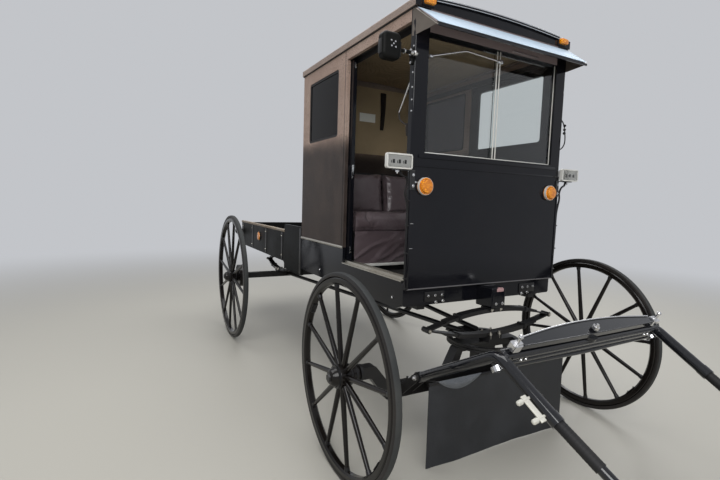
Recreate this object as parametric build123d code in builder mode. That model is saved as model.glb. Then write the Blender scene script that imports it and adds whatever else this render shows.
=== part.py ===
from build123d import *
import os
from math import cos, degrees, radians, sin, tan

# A horse drawn cab buggy with sliding doors and an open rear box, in millimetres.
# +Z is up, the floor is z = 0, the front faces -Y and the buggy's own right-hand side is -X.

# Driving dimensions
OVERALL_LENGTH = 5400
BODY_WIDTH = 1020
TRACK = 1660
WHEELBASE = 2220
FRONT_WHEEL_R = 457
REAR_WHEEL_R = 533
CAB_LENGTH = 1365
WALL = 20

# Stations along the buggy
TIP_Y = -OVERALL_LENGTH / 2
TAIL_Y = OVERALL_LENGTH / 2
FRONT_AXLE_Y = -510
REAR_AXLE_Y = FRONT_AXLE_Y + WHEELBASE
DASH_Y = FRONT_AXLE_Y
CAB_REAR_Y = DASH_Y + CAB_LENGTH
PILLAR_REAR_Y = DASH_Y + 36
PANEL_FRONT_Y = DASH_Y + 674
BED_STEP_Y = CAB_REAR_Y + 390
BED_END_Y = TAIL_Y - 12

# Heights above the floor
BODY_BOTTOM_Z = 710
BEAM_BOTTOM_Z = 705
FLOOR_Z = 790
FLOOR_THICK = 15
DASH_BOTTOM_Z = 814
SILL_Z = 849
BELT_Z = 945
FRAME_BOTTOM_Z = 1400
GLASS_BOTTOM_Z = 1457
GLASS_TOP_Z = 1995
DOOR_HEAD_Z = 2040
EAVE_Z = 2097
ROOF_EDGE_Z = 2135
ROOF_CROWN_Z = 2158

SIDE_X = BODY_WIDTH / 2
SIDES = (("right", -1), ("left", 1))
UPWARD = (Align.CENTER, Align.CENTER, Align.MIN)


def facing(y):
    """The upright plane at y, seen from the front: sketch x is X and sketch y is Z."""
    return Plane(origin=(0, y, 0), x_dir=(1, 0, 0), z_dir=(0, -1, 0))


def beside(x):
    """The upright plane at x, seen from +X: sketch x is Y and sketch y is Z."""
    return Plane(origin=(x, 0, 0), x_dir=(0, 1, 0), z_dir=(1, 0, 0))


def write(piece, label):
    """Label a finished piece and write it to its own STEP file."""
    piece.part.label = label
    export_step(piece.part, f"parts/{label}.step")


os.makedirs("parts", exist_ok=True)

# Body tub: floor, side boards stepped down under the doors, door sills, the front board and
# the block in front of it that the front spring carries
SILL_INNER_X = 450
SPRING_Y = FRONT_AXLE_Y - 50
BOARD_LOW_Z = BODY_BOTTOM_Z + 20
BLOCK_FRONT_Y = SPRING_Y - 42
BLOCK_X = 46
with BuildPart() as body_tub:
    with BuildSketch(beside(SIDE_X - WALL)):
        with BuildLine():
            Polyline(
                (PILLAR_REAR_Y, BOARD_LOW_Z),
                (PILLAR_REAR_Y + 45, BODY_BOTTOM_Z),
                (CAB_REAR_Y, BODY_BOTTOM_Z),
                (CAB_REAR_Y, BELT_Z),
                (PANEL_FRONT_Y, BELT_Z),
                (PANEL_FRONT_Y, SILL_Z),
                (PILLAR_REAR_Y, SILL_Z),
                close=True,
            )
        make_face()
    extrude(amount=WALL)
    with BuildSketch(beside(SILL_INNER_X)):
        with Locations(((PILLAR_REAR_Y + CAB_REAR_Y - WALL) / 2, (FLOOR_Z + SILL_Z) / 2)):
            Rectangle(CAB_REAR_Y - WALL - PILLAR_REAR_Y, SILL_Z - FLOOR_Z)
    extrude(amount=SIDE_X - WALL - SILL_INNER_X)
    mirror(about=Plane.YZ)
    with BuildSketch(Plane.XY.offset(FLOOR_Z - FLOOR_THICK)):
        with Locations((0, (PILLAR_REAR_Y + CAB_REAR_Y) / 2)):
            Rectangle(BODY_WIDTH - 2 * WALL, CAB_REAR_Y - PILLAR_REAR_Y)
    extrude(amount=FLOOR_THICK)
    with BuildSketch(facing(PILLAR_REAR_Y)):
        with Locations((0, (BOARD_LOW_Z + SILL_Z) / 2)):
            RectangleRounded(BODY_WIDTH, SILL_Z - BOARD_LOW_Z, 12)
    extrude(amount=PILLAR_REAR_Y - DASH_Y - WALL)
    with BuildSketch(facing(DASH_Y + WALL)):
        with Locations((0, (BEAM_BOTTOM_Z + DASH_BOTTOM_Z - 2) / 2)):
            RectangleRounded(2 * BLOCK_X, DASH_BOTTOM_Z - 2 - BEAM_BOTTOM_Z, 10)
    extrude(amount=DASH_Y + WALL - BLOCK_FRONT_Y)
    fillet(edges().group_by(Axis.Y)[0], radius=6)
write(body_tub, "body_tub")

# Chassis: two ash beams under the floor with their cross-members
BEAM_X = 390
BEAM_WIDE = 45
CROSS_BAR = 40
BEAM_END_Y = BED_END_Y - 40
BEAM_MID_Y = (PILLAR_REAR_Y + BEAM_END_Y) / 2
with BuildPart() as chassis_beams:
    with Locations((-BEAM_X, BEAM_MID_Y, BEAM_BOTTOM_Z), (BEAM_X, BEAM_MID_Y, BEAM_BOTTOM_Z)):
        Box(BEAM_WIDE, BEAM_END_Y - PILLAR_REAR_Y, FLOOR_Z - FLOOR_THICK - BEAM_BOTTOM_Z, align=UPWARD)
    for cross_y in (PILLAR_REAR_Y + 30, CAB_REAR_Y - 60, REAR_AXLE_Y, BED_END_Y - 70):
        with Locations((0, cross_y, BEAM_BOTTOM_Z + CROSS_BAR / 2)):
            Box(2 * BEAM_X, CROSS_BAR, CROSS_BAR, align=UPWARD)
write(chassis_beams, "chassis_beams")

# Dash: the flat front panel, with its two front edges rounded
with BuildPart() as dash_panel:
    with BuildSketch(Plane.XY.offset(DASH_BOTTOM_Z)):
        with Locations((0, DASH_Y + WALL / 2)):
            Rectangle(BODY_WIDTH, WALL)
        fillet(vertices().group_by(Axis.Y)[0], radius=8)
    extrude(amount=FRAME_BOTTOM_Z - DASH_BOTTOM_Z)
write(dash_panel, "dash_panel")

# Windshield frame: pillars, sill and head in one, rabbeted for two glass panes
GLASS_X = 434
RABBET = 10
RABBET_Y = DASH_Y + 26
SIGHT_X = GLASS_X - RABBET
SIGHT_HIGH = GLASS_TOP_Z - GLASS_BOTTOM_Z - 2 * RABBET
with BuildPart() as windshield_frame:
    with BuildSketch(facing(PILLAR_REAR_Y)):
        with Locations((0, (FRAME_BOTTOM_Z + EAVE_Z) / 2)):
            Rectangle(BODY_WIDTH, EAVE_Z - FRAME_BOTTOM_Z)
        with Locations((0, (GLASS_BOTTOM_Z + GLASS_TOP_Z) / 2)):
            Rectangle(2 * SIGHT_X, SIGHT_HIGH, mode=Mode.SUBTRACT)
    extrude(amount=PILLAR_REAR_Y - DASH_Y)
    with BuildSketch(facing(RABBET_Y)):
        with Locations((0, (GLASS_BOTTOM_Z + GLASS_TOP_Z) / 2)):
            Rectangle(2 * GLASS_X, GLASS_TOP_Z - GLASS_BOTTOM_Z)
    extrude(amount=RABBET_Y - DASH_Y, mode=Mode.SUBTRACT)
    front_corners = edges().filter_by(Axis.Z).group_by(Axis.Y)[0].sort_by(Axis.X)
    fillet([front_corners[0], front_corners[-1]], radius=8)
write(windshield_frame, "windshield_frame")

# Windshield panes: two sheets that slide past each other and overlap at the middle
PANE_THICK = 5
PANE_LAP = 12
PANE_GAP = 1
PANES = (
    # side, depth of the rear face behind the dash face
    (-1, RABBET_Y - DASH_Y),
    (1, RABBET_Y - DASH_Y - PANE_THICK - PANE_GAP),
)
with BuildPart() as windshield_panes:
    for side, depth in PANES:
        with BuildSketch(facing(DASH_Y + depth)):
            with Locations((side * (GLASS_X - PANE_LAP) / 2, (GLASS_BOTTOM_Z + GLASS_TOP_Z) / 2)):
                Rectangle(GLASS_X + PANE_LAP, GLASS_TOP_Z - GLASS_BOTTOM_Z)
        extrude(amount=PANE_THICK)
write(windshield_panes, "windshield_panes")

# Side panels: the quarter behind each door and the header over it, with a window cut
WINDOW_MID_Y = DASH_Y + 1020
WINDOW_MID_Z = 1814
WINDOW_WIDE = 460
WINDOW_HIGH = 400
GASKET = 14
WINDOW_CORNER = 22
PANE_CORNER = 12
PANE_WIDE = WINDOW_WIDE - 2 * GASKET
PANE_HIGH = WINDOW_HIGH - 2 * GASKET
with BuildPart() as side_panels:
    with BuildSketch(beside(SIDE_X - WALL)):
        with BuildLine():
            Polyline(
                (PANEL_FRONT_Y, BELT_Z),
                (CAB_REAR_Y, BELT_Z),
                (CAB_REAR_Y, EAVE_Z),
                (PILLAR_REAR_Y, EAVE_Z),
                (PILLAR_REAR_Y, DOOR_HEAD_Z),
                (PANEL_FRONT_Y, DOOR_HEAD_Z),
                close=True,
            )
        make_face()
        with Locations((WINDOW_MID_Y, WINDOW_MID_Z)):
            RectangleRounded(WINDOW_WIDE, WINDOW_HIGH, WINDOW_CORNER, mode=Mode.SUBTRACT)
    extrude(amount=WALL)
    mirror(about=Plane.YZ)
write(side_panels, "side_panels")

# Quarter window gaskets: a rubber ring in each window cut
with BuildPart() as quarter_gaskets:
    with BuildSketch(beside(SIDE_X - WALL)):
        with Locations((WINDOW_MID_Y, WINDOW_MID_Z)):
            RectangleRounded(WINDOW_WIDE, WINDOW_HIGH, WINDOW_CORNER)
            RectangleRounded(PANE_WIDE, PANE_HIGH, PANE_CORNER, mode=Mode.SUBTRACT)
    extrude(amount=WALL - 3)
    mirror(about=Plane.YZ)
write(quarter_gaskets, "quarter_gaskets")

# Quarter glass: the dark fixed panes held by the gaskets
with BuildPart() as quarter_glass:
    with BuildSketch(beside(SIDE_X - WALL / 2 - PANE_THICK / 2)):
        with Locations((WINDOW_MID_Y, WINDOW_MID_Z)):
            RectangleRounded(PANE_WIDE, PANE_HIGH, PANE_CORNER)
    extrude(amount=PANE_THICK)
    mirror(about=Plane.YZ)
write(quarter_glass, "quarter_glass")

# Belt mouldings: the half-round strips that cover the joint under the side panels
with BuildPart() as belt_mouldings:
    with BuildSketch(facing(CAB_REAR_Y)):
        with Locations((SIDE_X, BELT_Z)):
            Ellipse(6, 8)
        with Locations((SIDE_X - 10, BELT_Z)):
            Rectangle(20, 20, mode=Mode.SUBTRACT)
    extrude(amount=CAB_REAR_Y - PANEL_FRONT_Y)
    mirror(about=Plane.YZ)
write(belt_mouldings, "belt_mouldings")

# Rear wall: closes the cab between the side boards, from the floor to the roof
with BuildPart() as rear_wall:
    with BuildSketch(facing(CAB_REAR_Y)):
        with Locations((0, (FLOOR_Z + EAVE_Z) / 2)):
            Rectangle(BODY_WIDTH - 2 * WALL, EAVE_Z - FLOOR_Z)
    extrude(amount=WALL)
write(rear_wall, "rear_wall")

# Roof: one arched shell with a deep rim that sits on the side panels
ROOF_OVERHANG = 10
ROOF_SHELL = 22
ROOF_FRONT_Y = DASH_Y - 5
ROOF_REAR_Y = CAB_REAR_Y + 8
ROOF_X = SIDE_X + ROOF_OVERHANG
HOLLOW_X = SIDE_X - 2 * WALL
HOLLOW_EDGE_Z = ROOF_EDGE_Z - ROOF_SHELL
with BuildPart() as roof:
    with BuildSketch(facing(ROOF_REAR_Y)):
        with BuildLine():
            ThreePointArc((-ROOF_X, ROOF_EDGE_Z), (0, ROOF_CROWN_Z), (ROOF_X, ROOF_EDGE_Z))
            Polyline((ROOF_X, ROOF_EDGE_Z), (ROOF_X, EAVE_Z), (-ROOF_X, EAVE_Z), (-ROOF_X, ROOF_EDGE_Z))
        make_face()
    extrude(amount=ROOF_REAR_Y - ROOF_FRONT_Y)
    fillet(edges().filter_by(Axis.Y).filter_by(lambda e: abs(e.center().Z - ROOF_EDGE_Z) < 1), radius=9)
    with BuildSketch(facing(CAB_REAR_Y - WALL)):
        with BuildLine():
            ThreePointArc(
                (-HOLLOW_X, ROOF_EDGE_Z - ROOF_SHELL),
                (0, ROOF_CROWN_Z - ROOF_SHELL),
                (HOLLOW_X, ROOF_EDGE_Z - ROOF_SHELL),
            )
            Polyline(
                (HOLLOW_X, ROOF_EDGE_Z - ROOF_SHELL),
                (HOLLOW_X, EAVE_Z),
                (-HOLLOW_X, EAVE_Z),
                (-HOLLOW_X, ROOF_EDGE_Z - ROOF_SHELL),
            )
        make_face()
    extrude(amount=CAB_REAR_Y - WALL - PILLAR_REAR_Y, mode=Mode.SUBTRACT)
write(roof, "roof")

# Headliner: the thin arched board under the roof shell
LINER_THICK = 4
with BuildPart() as headliner:
    with BuildSketch(facing(CAB_REAR_Y - WALL)):
        with BuildLine():
            ThreePointArc(
                (-HOLLOW_X, ROOF_EDGE_Z - ROOF_SHELL),
                (0, ROOF_CROWN_Z - ROOF_SHELL),
                (HOLLOW_X, ROOF_EDGE_Z - ROOF_SHELL),
            )
            Line((HOLLOW_X, HOLLOW_EDGE_Z), (HOLLOW_X, HOLLOW_EDGE_Z - LINER_THICK))
            ThreePointArc(
                (HOLLOW_X, ROOF_EDGE_Z - ROOF_SHELL - LINER_THICK),
                (0, ROOF_CROWN_Z - ROOF_SHELL - LINER_THICK),
                (-HOLLOW_X, ROOF_EDGE_Z - ROOF_SHELL - LINER_THICK),
            )
            Line((-HOLLOW_X, HOLLOW_EDGE_Z - LINER_THICK), (-HOLLOW_X, HOLLOW_EDGE_Z))
        make_face()
    extrude(amount=CAB_REAR_Y - WALL - PILLAR_REAR_Y)
write(headliner, "headliner")

# Rear lining: the tan curtain that covers the inside of the rear wall, down to seat height
LINING_BOTTOM_Z = 1590
LINING_X = SIDE_X - WALL - 40
with BuildPart() as rear_lining:
    with BuildSketch(facing(CAB_REAR_Y - WALL)):
        with Locations((0, (LINING_BOTTOM_Z + EAVE_Z) / 2)):
            Rectangle(2 * LINING_X, EAVE_Z - LINING_BOTTOM_Z)
    extrude(amount=LINER_THICK)
write(rear_lining, "rear_lining")

# Drip moulding: the bright strip along the arched top edge of the roof's front
DRIP_X = 415
DRIP_DROP = 2
DRIP_HIGH = 14
DRIP_OUT = 12
with BuildPart() as drip_moulding:
    with BuildSketch(facing(ROOF_FRONT_Y)):
        with BuildLine():
            high = ThreePointArc(
                (-ROOF_X, ROOF_EDGE_Z - DRIP_DROP),
                (0, ROOF_CROWN_Z - DRIP_DROP),
                (ROOF_X, ROOF_EDGE_Z - DRIP_DROP),
            )
            low = ThreePointArc(
                (-ROOF_X, ROOF_EDGE_Z - DRIP_DROP - DRIP_HIGH),
                (0, ROOF_CROWN_Z - DRIP_DROP - DRIP_HIGH),
                (ROOF_X, ROOF_EDGE_Z - DRIP_DROP - DRIP_HIGH),
            )
            Line(high @ 0, low @ 0)
            Line(high @ 1, low @ 1)
        make_face()
        with Locations((0, ROOF_EDGE_Z)):
            Rectangle(2 * DRIP_X, ROOF_CROWN_Z - EAVE_Z, mode=Mode.INTERSECT)
    extrude(amount=DRIP_OUT)
write(drip_moulding, "drip_moulding")

# Visor: a sloping sheet with a turned-down lip, over the windshield
VISOR_TOP_Z = 2088
VISOR_LOW_Z = 1983
VISOR_REACH = 138
VISOR_SHEET = 6
VISOR_LIP = 12
VISOR_TIP_X = 492
with BuildPart() as visor:
    with BuildSketch(beside(-SIDE_X)):
        with BuildLine():
            Polyline(
                (DASH_Y, VISOR_TOP_Z),
                (DASH_Y - VISOR_REACH, VISOR_LOW_Z),
                (DASH_Y - VISOR_REACH, VISOR_LOW_Z - VISOR_LIP),
                (DASH_Y - VISOR_REACH + VISOR_SHEET, VISOR_LOW_Z - VISOR_LIP),
                (DASH_Y - VISOR_REACH + VISOR_SHEET, VISOR_LOW_Z - 3),
                (DASH_Y, VISOR_TOP_Z - 8),
                close=True,
            )
        make_face()
    extrude(amount=BODY_WIDTH)
    with BuildSketch(Plane.XY.offset(VISOR_LOW_Z - VISOR_LIP)):
        with BuildLine():
            Polyline(
                (-SIDE_X, DASH_Y),
                (SIDE_X, DASH_Y),
                (VISOR_TIP_X, DASH_Y - VISOR_REACH),
                (-VISOR_TIP_X, DASH_Y - VISOR_REACH),
                close=True,
            )
        make_face()
    extrude(amount=VISOR_TOP_Z - VISOR_LOW_Z + VISOR_LIP, mode=Mode.INTERSECT)
write(visor, "visor")

# Visor gussets: the cloth triangles that close the visor's two ends against the pillars
GUSSET_THICK = 4
GUSSET_REAR = 28
GUSSET_LONG = (VISOR_REACH**2 + (SIDE_X - VISOR_TIP_X) ** 2) ** 0.5
with BuildPart() as visor_gussets:
    visor_end = Plane(
        origin=(SIDE_X, DASH_Y, 0),
        x_dir=(SIDE_X - VISOR_TIP_X, VISOR_REACH, 0),
        z_dir=(VISOR_REACH, VISOR_TIP_X - SIDE_X, 0),
    )
    with BuildSketch(visor_end):
        with BuildLine():
            Polyline(
                (GUSSET_REAR, EAVE_Z - 6),
                (0, EAVE_Z - 4),
                (-GUSSET_LONG, VISOR_LOW_Z + 3),
                (-GUSSET_LONG, VISOR_LOW_Z - VISOR_LIP),
                (GUSSET_REAR, VISOR_LOW_Z - 4),
                close=True,
            )
        make_face()
        fillet(vertices(), radius=3)
    extrude(amount=GUSSET_THICK)
    mirror(about=Plane.YZ)
write(visor_gussets, "visor_gussets")

# Sliding doors: stiles and rails with a recessed lower panel, a window opening and a pull.
# The right-hand door is slid back open and the left-hand door is closed.
DOOR_X = SIDE_X - WALL - 27
DOOR_THICK = 22
DOOR_LENGTH = 660
DOOR_BOTTOM_Z = 860
DOOR_TOP_Z = 2035
DOOR_CLOSED_Y = DASH_Y + 42
DOOR_TRAVEL = 600
DOOR_STILE = 70
DOOR_GLASS_LOW_Z = 1600
DOOR_GLASS_TOP_Z = 1975
DOOR_PANEL_LOW_Z = 950
DOOR_PANEL_TOP_Z = 1510
DOOR_RECESS = 5
HANDLE_Z = 1395
HANDLE_THICK = 8
DOOR_CORNER = 18
HANDLE_WIDE = 18
HANDLE_LONG = 76
DOOR_STARTS = {"right": DOOR_CLOSED_Y + DOOR_TRAVEL, "left": DOOR_CLOSED_Y}
for label, side in SIDES:
    inner_x = DOOR_X if side > 0 else -DOOR_X - DOOR_THICK
    mid_y = DOOR_STARTS[label] + DOOR_LENGTH / 2
    light_wide = DOOR_LENGTH - 2 * DOOR_STILE
    light_mid_z = (DOOR_GLASS_LOW_Z + DOOR_GLASS_TOP_Z) / 2
    light_high = DOOR_GLASS_TOP_Z - DOOR_GLASS_LOW_Z
    with BuildPart() as door:
        with BuildSketch(beside(inner_x)):
            with Locations((mid_y, (DOOR_BOTTOM_Z + DOOR_TOP_Z) / 2)):
                Rectangle(DOOR_LENGTH, DOOR_TOP_Z - DOOR_BOTTOM_Z)
            with Locations((mid_y, light_mid_z)):
                RectangleRounded(light_wide, light_high, DOOR_CORNER, mode=Mode.SUBTRACT)
        extrude(amount=DOOR_THICK)
        for face_x in (inner_x, inner_x + DOOR_THICK - DOOR_RECESS):
            with BuildSketch(beside(face_x)):
                with Locations((mid_y, (DOOR_PANEL_LOW_Z + DOOR_PANEL_TOP_Z) / 2)):
                    Rectangle(light_wide, DOOR_PANEL_TOP_Z - DOOR_PANEL_LOW_Z)
            extrude(amount=DOOR_RECESS, mode=Mode.SUBTRACT)
        with BuildSketch(beside(inner_x + DOOR_THICK if side > 0 else inner_x - HANDLE_THICK)):
            with Locations((DOOR_STARTS[label] + 15, HANDLE_Z)):
                RectangleRounded(HANDLE_WIDE, HANDLE_LONG, 6)
        extrude(amount=HANDLE_THICK)
    write(door, f"door_{label}")
    with BuildPart() as door_glass:
        with BuildSketch(beside(inner_x + (DOOR_THICK - PANE_THICK) / 2)):
            with Locations((mid_y, light_mid_z)):
                RectangleRounded(light_wide, light_high, DOOR_CORNER)
        extrude(amount=PANE_THICK)
    write(door_glass, f"door_glass_{label}")

# Door tracks: a grooved aluminium strip on each sill
TRACK_BASE = 6
TRACK_RIB = 3
with BuildPart() as door_tracks:
    with BuildSketch(Plane.XY.offset(SILL_Z)):
        with Locations(((SILL_INNER_X + SIDE_X - WALL) / 2, (PILLAR_REAR_Y + CAB_REAR_Y - WALL) / 2)):
            Rectangle(SIDE_X - WALL - SILL_INNER_X, CAB_REAR_Y - WALL - PILLAR_REAR_Y)
        with Locations((SIDE_X - WALL / 2 + 2, (PILLAR_REAR_Y + PANEL_FRONT_Y) / 2)):
            Rectangle(WALL + 4, PANEL_FRONT_Y - PILLAR_REAR_Y)
    extrude(amount=TRACK_BASE)
    with BuildSketch(Plane.XY.offset(SILL_Z + TRACK_BASE)):
        with Locations((DOOR_X - 5 - TRACK_RIB / 2, (PILLAR_REAR_Y + CAB_REAR_Y - WALL) / 2)):
            Rectangle(TRACK_RIB, CAB_REAR_Y - WALL - PILLAR_REAR_Y)
        with Locations((DOOR_X + DOOR_THICK + 5 + TRACK_RIB / 2, (PILLAR_REAR_Y + PANEL_FRONT_Y) / 2)):
            Rectangle(TRACK_RIB, PANEL_FRONT_Y - PILLAR_REAR_Y)
    extrude(amount=13)
    mirror(about=Plane.YZ)
write(door_tracks, "door_tracks")

# Head tracks: an angle strip on the inside of each header that keeps the door's top edge in
with BuildPart() as head_tracks:
    with BuildSketch(facing(CAB_REAR_Y - WALL)):
        with BuildLine():
            Polyline(
                (SIDE_X - WALL, DOOR_TOP_Z + 17),
                (DOOR_X - 8, DOOR_TOP_Z + 17),
                (DOOR_X - 8, DOOR_TOP_Z - 15),
                (DOOR_X - 5, DOOR_TOP_Z - 15),
                (DOOR_X - 5, DOOR_TOP_Z + 13),
                (SIDE_X - WALL, DOOR_TOP_Z + 13),
                close=True,
            )
        make_face()
    extrude(amount=CAB_REAR_Y - WALL - PILLAR_REAR_Y)
    mirror(about=Plane.YZ)
write(head_tracks, "head_tracks")

# Seat base: a boarded box under the seat, open to the rear, and the leaning board behind the pads
SEAT_X = 440
SEAT_FRONT_Y = DASH_Y + 676
SEAT_REAR_Y = DASH_Y + 1115
SEAT_TOP_Z = 1035
SEAT_BOARD = 18
CUSHION_TOP_Z = 1148
BACK_LEAN = 40
BACK_TOP_Z = 1430
BACK_THICK = 88
BACK_FOOT_Y = DASH_Y + 1022
BOARD_THICK = 16
BACK_SLOPE = BACK_LEAN / (BACK_TOP_Z - CUSHION_TOP_Z)
BOARD_FOOT_Y = BACK_FOOT_Y + BACK_THICK - BACK_SLOPE * (CUSHION_TOP_Z - SEAT_TOP_Z)
BACK_WIDE = 432
BACK_MID_X = 223
SKIRT_LOW_Z = FLOOR_Z + 36
CUSHION_NOSE_Y = SEAT_FRONT_Y - 16
CUSHION_REAR_Y = DASH_Y + 1030
CUSHION_ROLL = 34
with BuildPart() as seat_base:
    with BuildSketch(Plane.XY.offset(FLOOR_Z)):
        with Locations((0, (SEAT_FRONT_Y + SEAT_REAR_Y) / 2)):
            Rectangle(2 * SEAT_X, SEAT_REAR_Y - SEAT_FRONT_Y)
    extrude(amount=SEAT_TOP_Z - FLOOR_Z)
    with BuildSketch(Plane.XY.offset(FLOOR_Z)):
        with Locations((0, (SEAT_FRONT_Y + SEAT_BOARD + SEAT_REAR_Y) / 2)):
            Rectangle(2 * (SEAT_X - SEAT_BOARD), SEAT_REAR_Y - SEAT_FRONT_Y - SEAT_BOARD)
    extrude(amount=SEAT_TOP_Z - SEAT_BOARD - FLOOR_Z, mode=Mode.SUBTRACT)
    with BuildSketch(beside(-SEAT_X)):
        with BuildLine():
            Polyline(
                (BOARD_FOOT_Y, SEAT_TOP_Z),
                (BOARD_FOOT_Y + BOARD_THICK, SEAT_TOP_Z),
                (BACK_FOOT_Y + BACK_THICK + BACK_LEAN + BOARD_THICK, BACK_TOP_Z),
                (BACK_FOOT_Y + BACK_THICK + BACK_LEAN, BACK_TOP_Z),
                close=True,
            )
        make_face()
    extrude(amount=2 * SEAT_X)
write(seat_base, "seat_base")

# Seat skirt: the leathercloth drape over the front of the seat box
with BuildPart() as seat_skirt:
    with BuildSketch(facing(SEAT_FRONT_Y)):
        with Locations((0, (SKIRT_LOW_Z + SEAT_TOP_Z) / 2)):
            Rectangle(2 * SEAT_X - 6, SEAT_TOP_Z - SKIRT_LOW_Z)
    extrude(amount=8)
write(seat_skirt, "seat_skirt")

# Seat cushion: one full-width pad with a rolled front edge
with BuildPart() as seat_cushion:
    with BuildSketch(beside(-SEAT_X)):
        with Locations(((CUSHION_NOSE_Y + CUSHION_REAR_Y) / 2, (SEAT_TOP_Z + CUSHION_TOP_Z) / 2)):
            Rectangle(CUSHION_REAR_Y - CUSHION_NOSE_Y, CUSHION_TOP_Z - SEAT_TOP_Z)
        fillet(vertices().group_by(Axis.X)[0], radius=CUSHION_ROLL)
    extrude(amount=2 * SEAT_X)
write(seat_cushion, "seat_cushion")

# Seat backs: two leaning pads side by side
with BuildPart() as seat_backs:
    for side in (-1, 1):
        with BuildSketch(beside(side * BACK_MID_X - BACK_WIDE / 2)):
            with BuildLine():
                Polyline(
                    (BACK_FOOT_Y, CUSHION_TOP_Z),
                    (BACK_FOOT_Y + BACK_THICK, CUSHION_TOP_Z),
                    (BACK_FOOT_Y + BACK_THICK + BACK_LEAN, BACK_TOP_Z),
                    (BACK_FOOT_Y + BACK_LEAN, BACK_TOP_Z),
                    close=True,
                )
            make_face()
            fillet(vertices(), radius=20)
        extrude(amount=BACK_WIDE)
write(seat_backs, "seat_backs")

# Rear box: floor, side boards that are deeper next to the cab, and a rear sill that carries
# the fixed halves of the tailgate's three hinges
BOX_LOW_Z = 715
BOX_TOP_Z = 955
QUARTER_LOW_Z = 660
QUARTER_TOP_Z = 1020
REAR_SILL = 40
BED_FLOOR_END_Y = BED_END_Y - 28
HINGE_Y = BED_END_Y + 6
HINGE_Z = 738
HINGE_R = 6
HINGE_XS = (-300, 0, 300)
KNUCKLE = 30
with BuildPart() as rear_box:
    with BuildSketch(beside(SIDE_X - WALL)):
        with BuildLine():
            Polyline(
                (CAB_REAR_Y, QUARTER_LOW_Z),
                (BED_STEP_Y, QUARTER_LOW_Z),
                (BED_STEP_Y, BOX_LOW_Z),
                (BED_END_Y, BOX_LOW_Z),
                (BED_END_Y, BOX_TOP_Z),
                (BED_STEP_Y, BOX_TOP_Z),
                (BED_STEP_Y, QUARTER_TOP_Z),
                (CAB_REAR_Y, QUARTER_TOP_Z),
                close=True,
            )
        make_face()
        quarter_corners = vertices().filter_by(lambda v: v.Z in (QUARTER_LOW_Z, QUARTER_TOP_Z))
        fillet(quarter_corners.sort_by(Axis.Y)[2:], radius=18)
    extrude(amount=WALL)
    mirror(about=Plane.YZ)
    with BuildSketch(Plane.XY.offset(FLOOR_Z - FLOOR_THICK)):
        with Locations((0, (CAB_REAR_Y + BED_FLOOR_END_Y) / 2)):
            Rectangle(BODY_WIDTH - 2 * WALL, BED_FLOOR_END_Y - CAB_REAR_Y)
    extrude(amount=FLOOR_THICK)
    with BuildSketch(Plane.XY.offset(BOX_LOW_Z)):
        with Locations((0, BED_END_Y - REAR_SILL / 2)):
            Rectangle(BODY_WIDTH - 2 * WALL, REAR_SILL)
    extrude(amount=20)
    for hinge_x in HINGE_XS:
        for knuckle_x in (hinge_x - 2 * KNUCKLE - 1, hinge_x + KNUCKLE + 1):
            with BuildSketch(beside(knuckle_x)):
                with Locations((HINGE_Y, HINGE_Z)):
                    Circle(HINGE_R)
                with Locations((BED_END_Y + 2, HINGE_Z - 14)):
                    Rectangle(4, 28)
            extrude(amount=KNUCKLE)
write(rear_box, "rear_box")

# Box rails: pale wooden caps along the tops of the rear box's sides
with BuildPart() as box_rails:
    with BuildSketch(facing(BED_END_Y)):
        with Locations((SIDE_X - WALL / 2, BOX_TOP_Z + 10)):
            RectangleRounded(WALL + 10, 20, 5)
    extrude(amount=BED_END_Y - BED_STEP_Y)
    mirror(about=Plane.YZ)
write(box_rails, "box_rails")

# Tailgate: a board on three hinge knuckles behind the rear sill
TAILGATE_X = SIDE_X - WALL - 6
TAILGATE_LOW_Z = HINGE_Z + 4
TAILGATE_THICK = 22
with BuildPart() as tailgate:
    with BuildSketch(Plane.XY.offset(TAILGATE_LOW_Z)):
        with Locations((0, BED_END_Y - TAILGATE_THICK / 2)):
            Rectangle(2 * TAILGATE_X, TAILGATE_THICK)
    extrude(amount=BOX_TOP_Z - TAILGATE_LOW_Z)
    for hinge_x in HINGE_XS:
        with BuildSketch(beside(hinge_x - KNUCKLE)):
            with Locations((HINGE_Y, HINGE_Z)):
                Circle(HINGE_R)
            with Locations((HINGE_Y - 3, HINGE_Z + 24)):
                Rectangle(6, 48)
        extrude(amount=2 * KNUCKLE)
write(tailgate, "tailgate")

# Tail lamps: round red lamps on short stays beside the rear box
TAIL_LAMP_X = SIDE_X + 42
TAIL_LAMP_Z = 862
TAIL_LAMP_R = 38
TAIL_LAMP_DEEP = 26
with BuildPart() as tail_lamps:
    with BuildSketch(facing(BED_END_Y - 10)):
        with Locations((TAIL_LAMP_X, TAIL_LAMP_Z)):
            Circle(TAIL_LAMP_R)
    extrude(amount=TAIL_LAMP_DEEP)
    fillet(edges().filter_by(GeomType.CIRCLE).group_by(Axis.Y)[-1], radius=8)
    with BuildSketch(beside(SIDE_X)):
        with Locations((BED_END_Y - 24, TAIL_LAMP_Z)):
            Rectangle(14, 40)
    extrude(amount=12)
    mirror(about=Plane.YZ)
write(tail_lamps, "tail_lamps")

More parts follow.
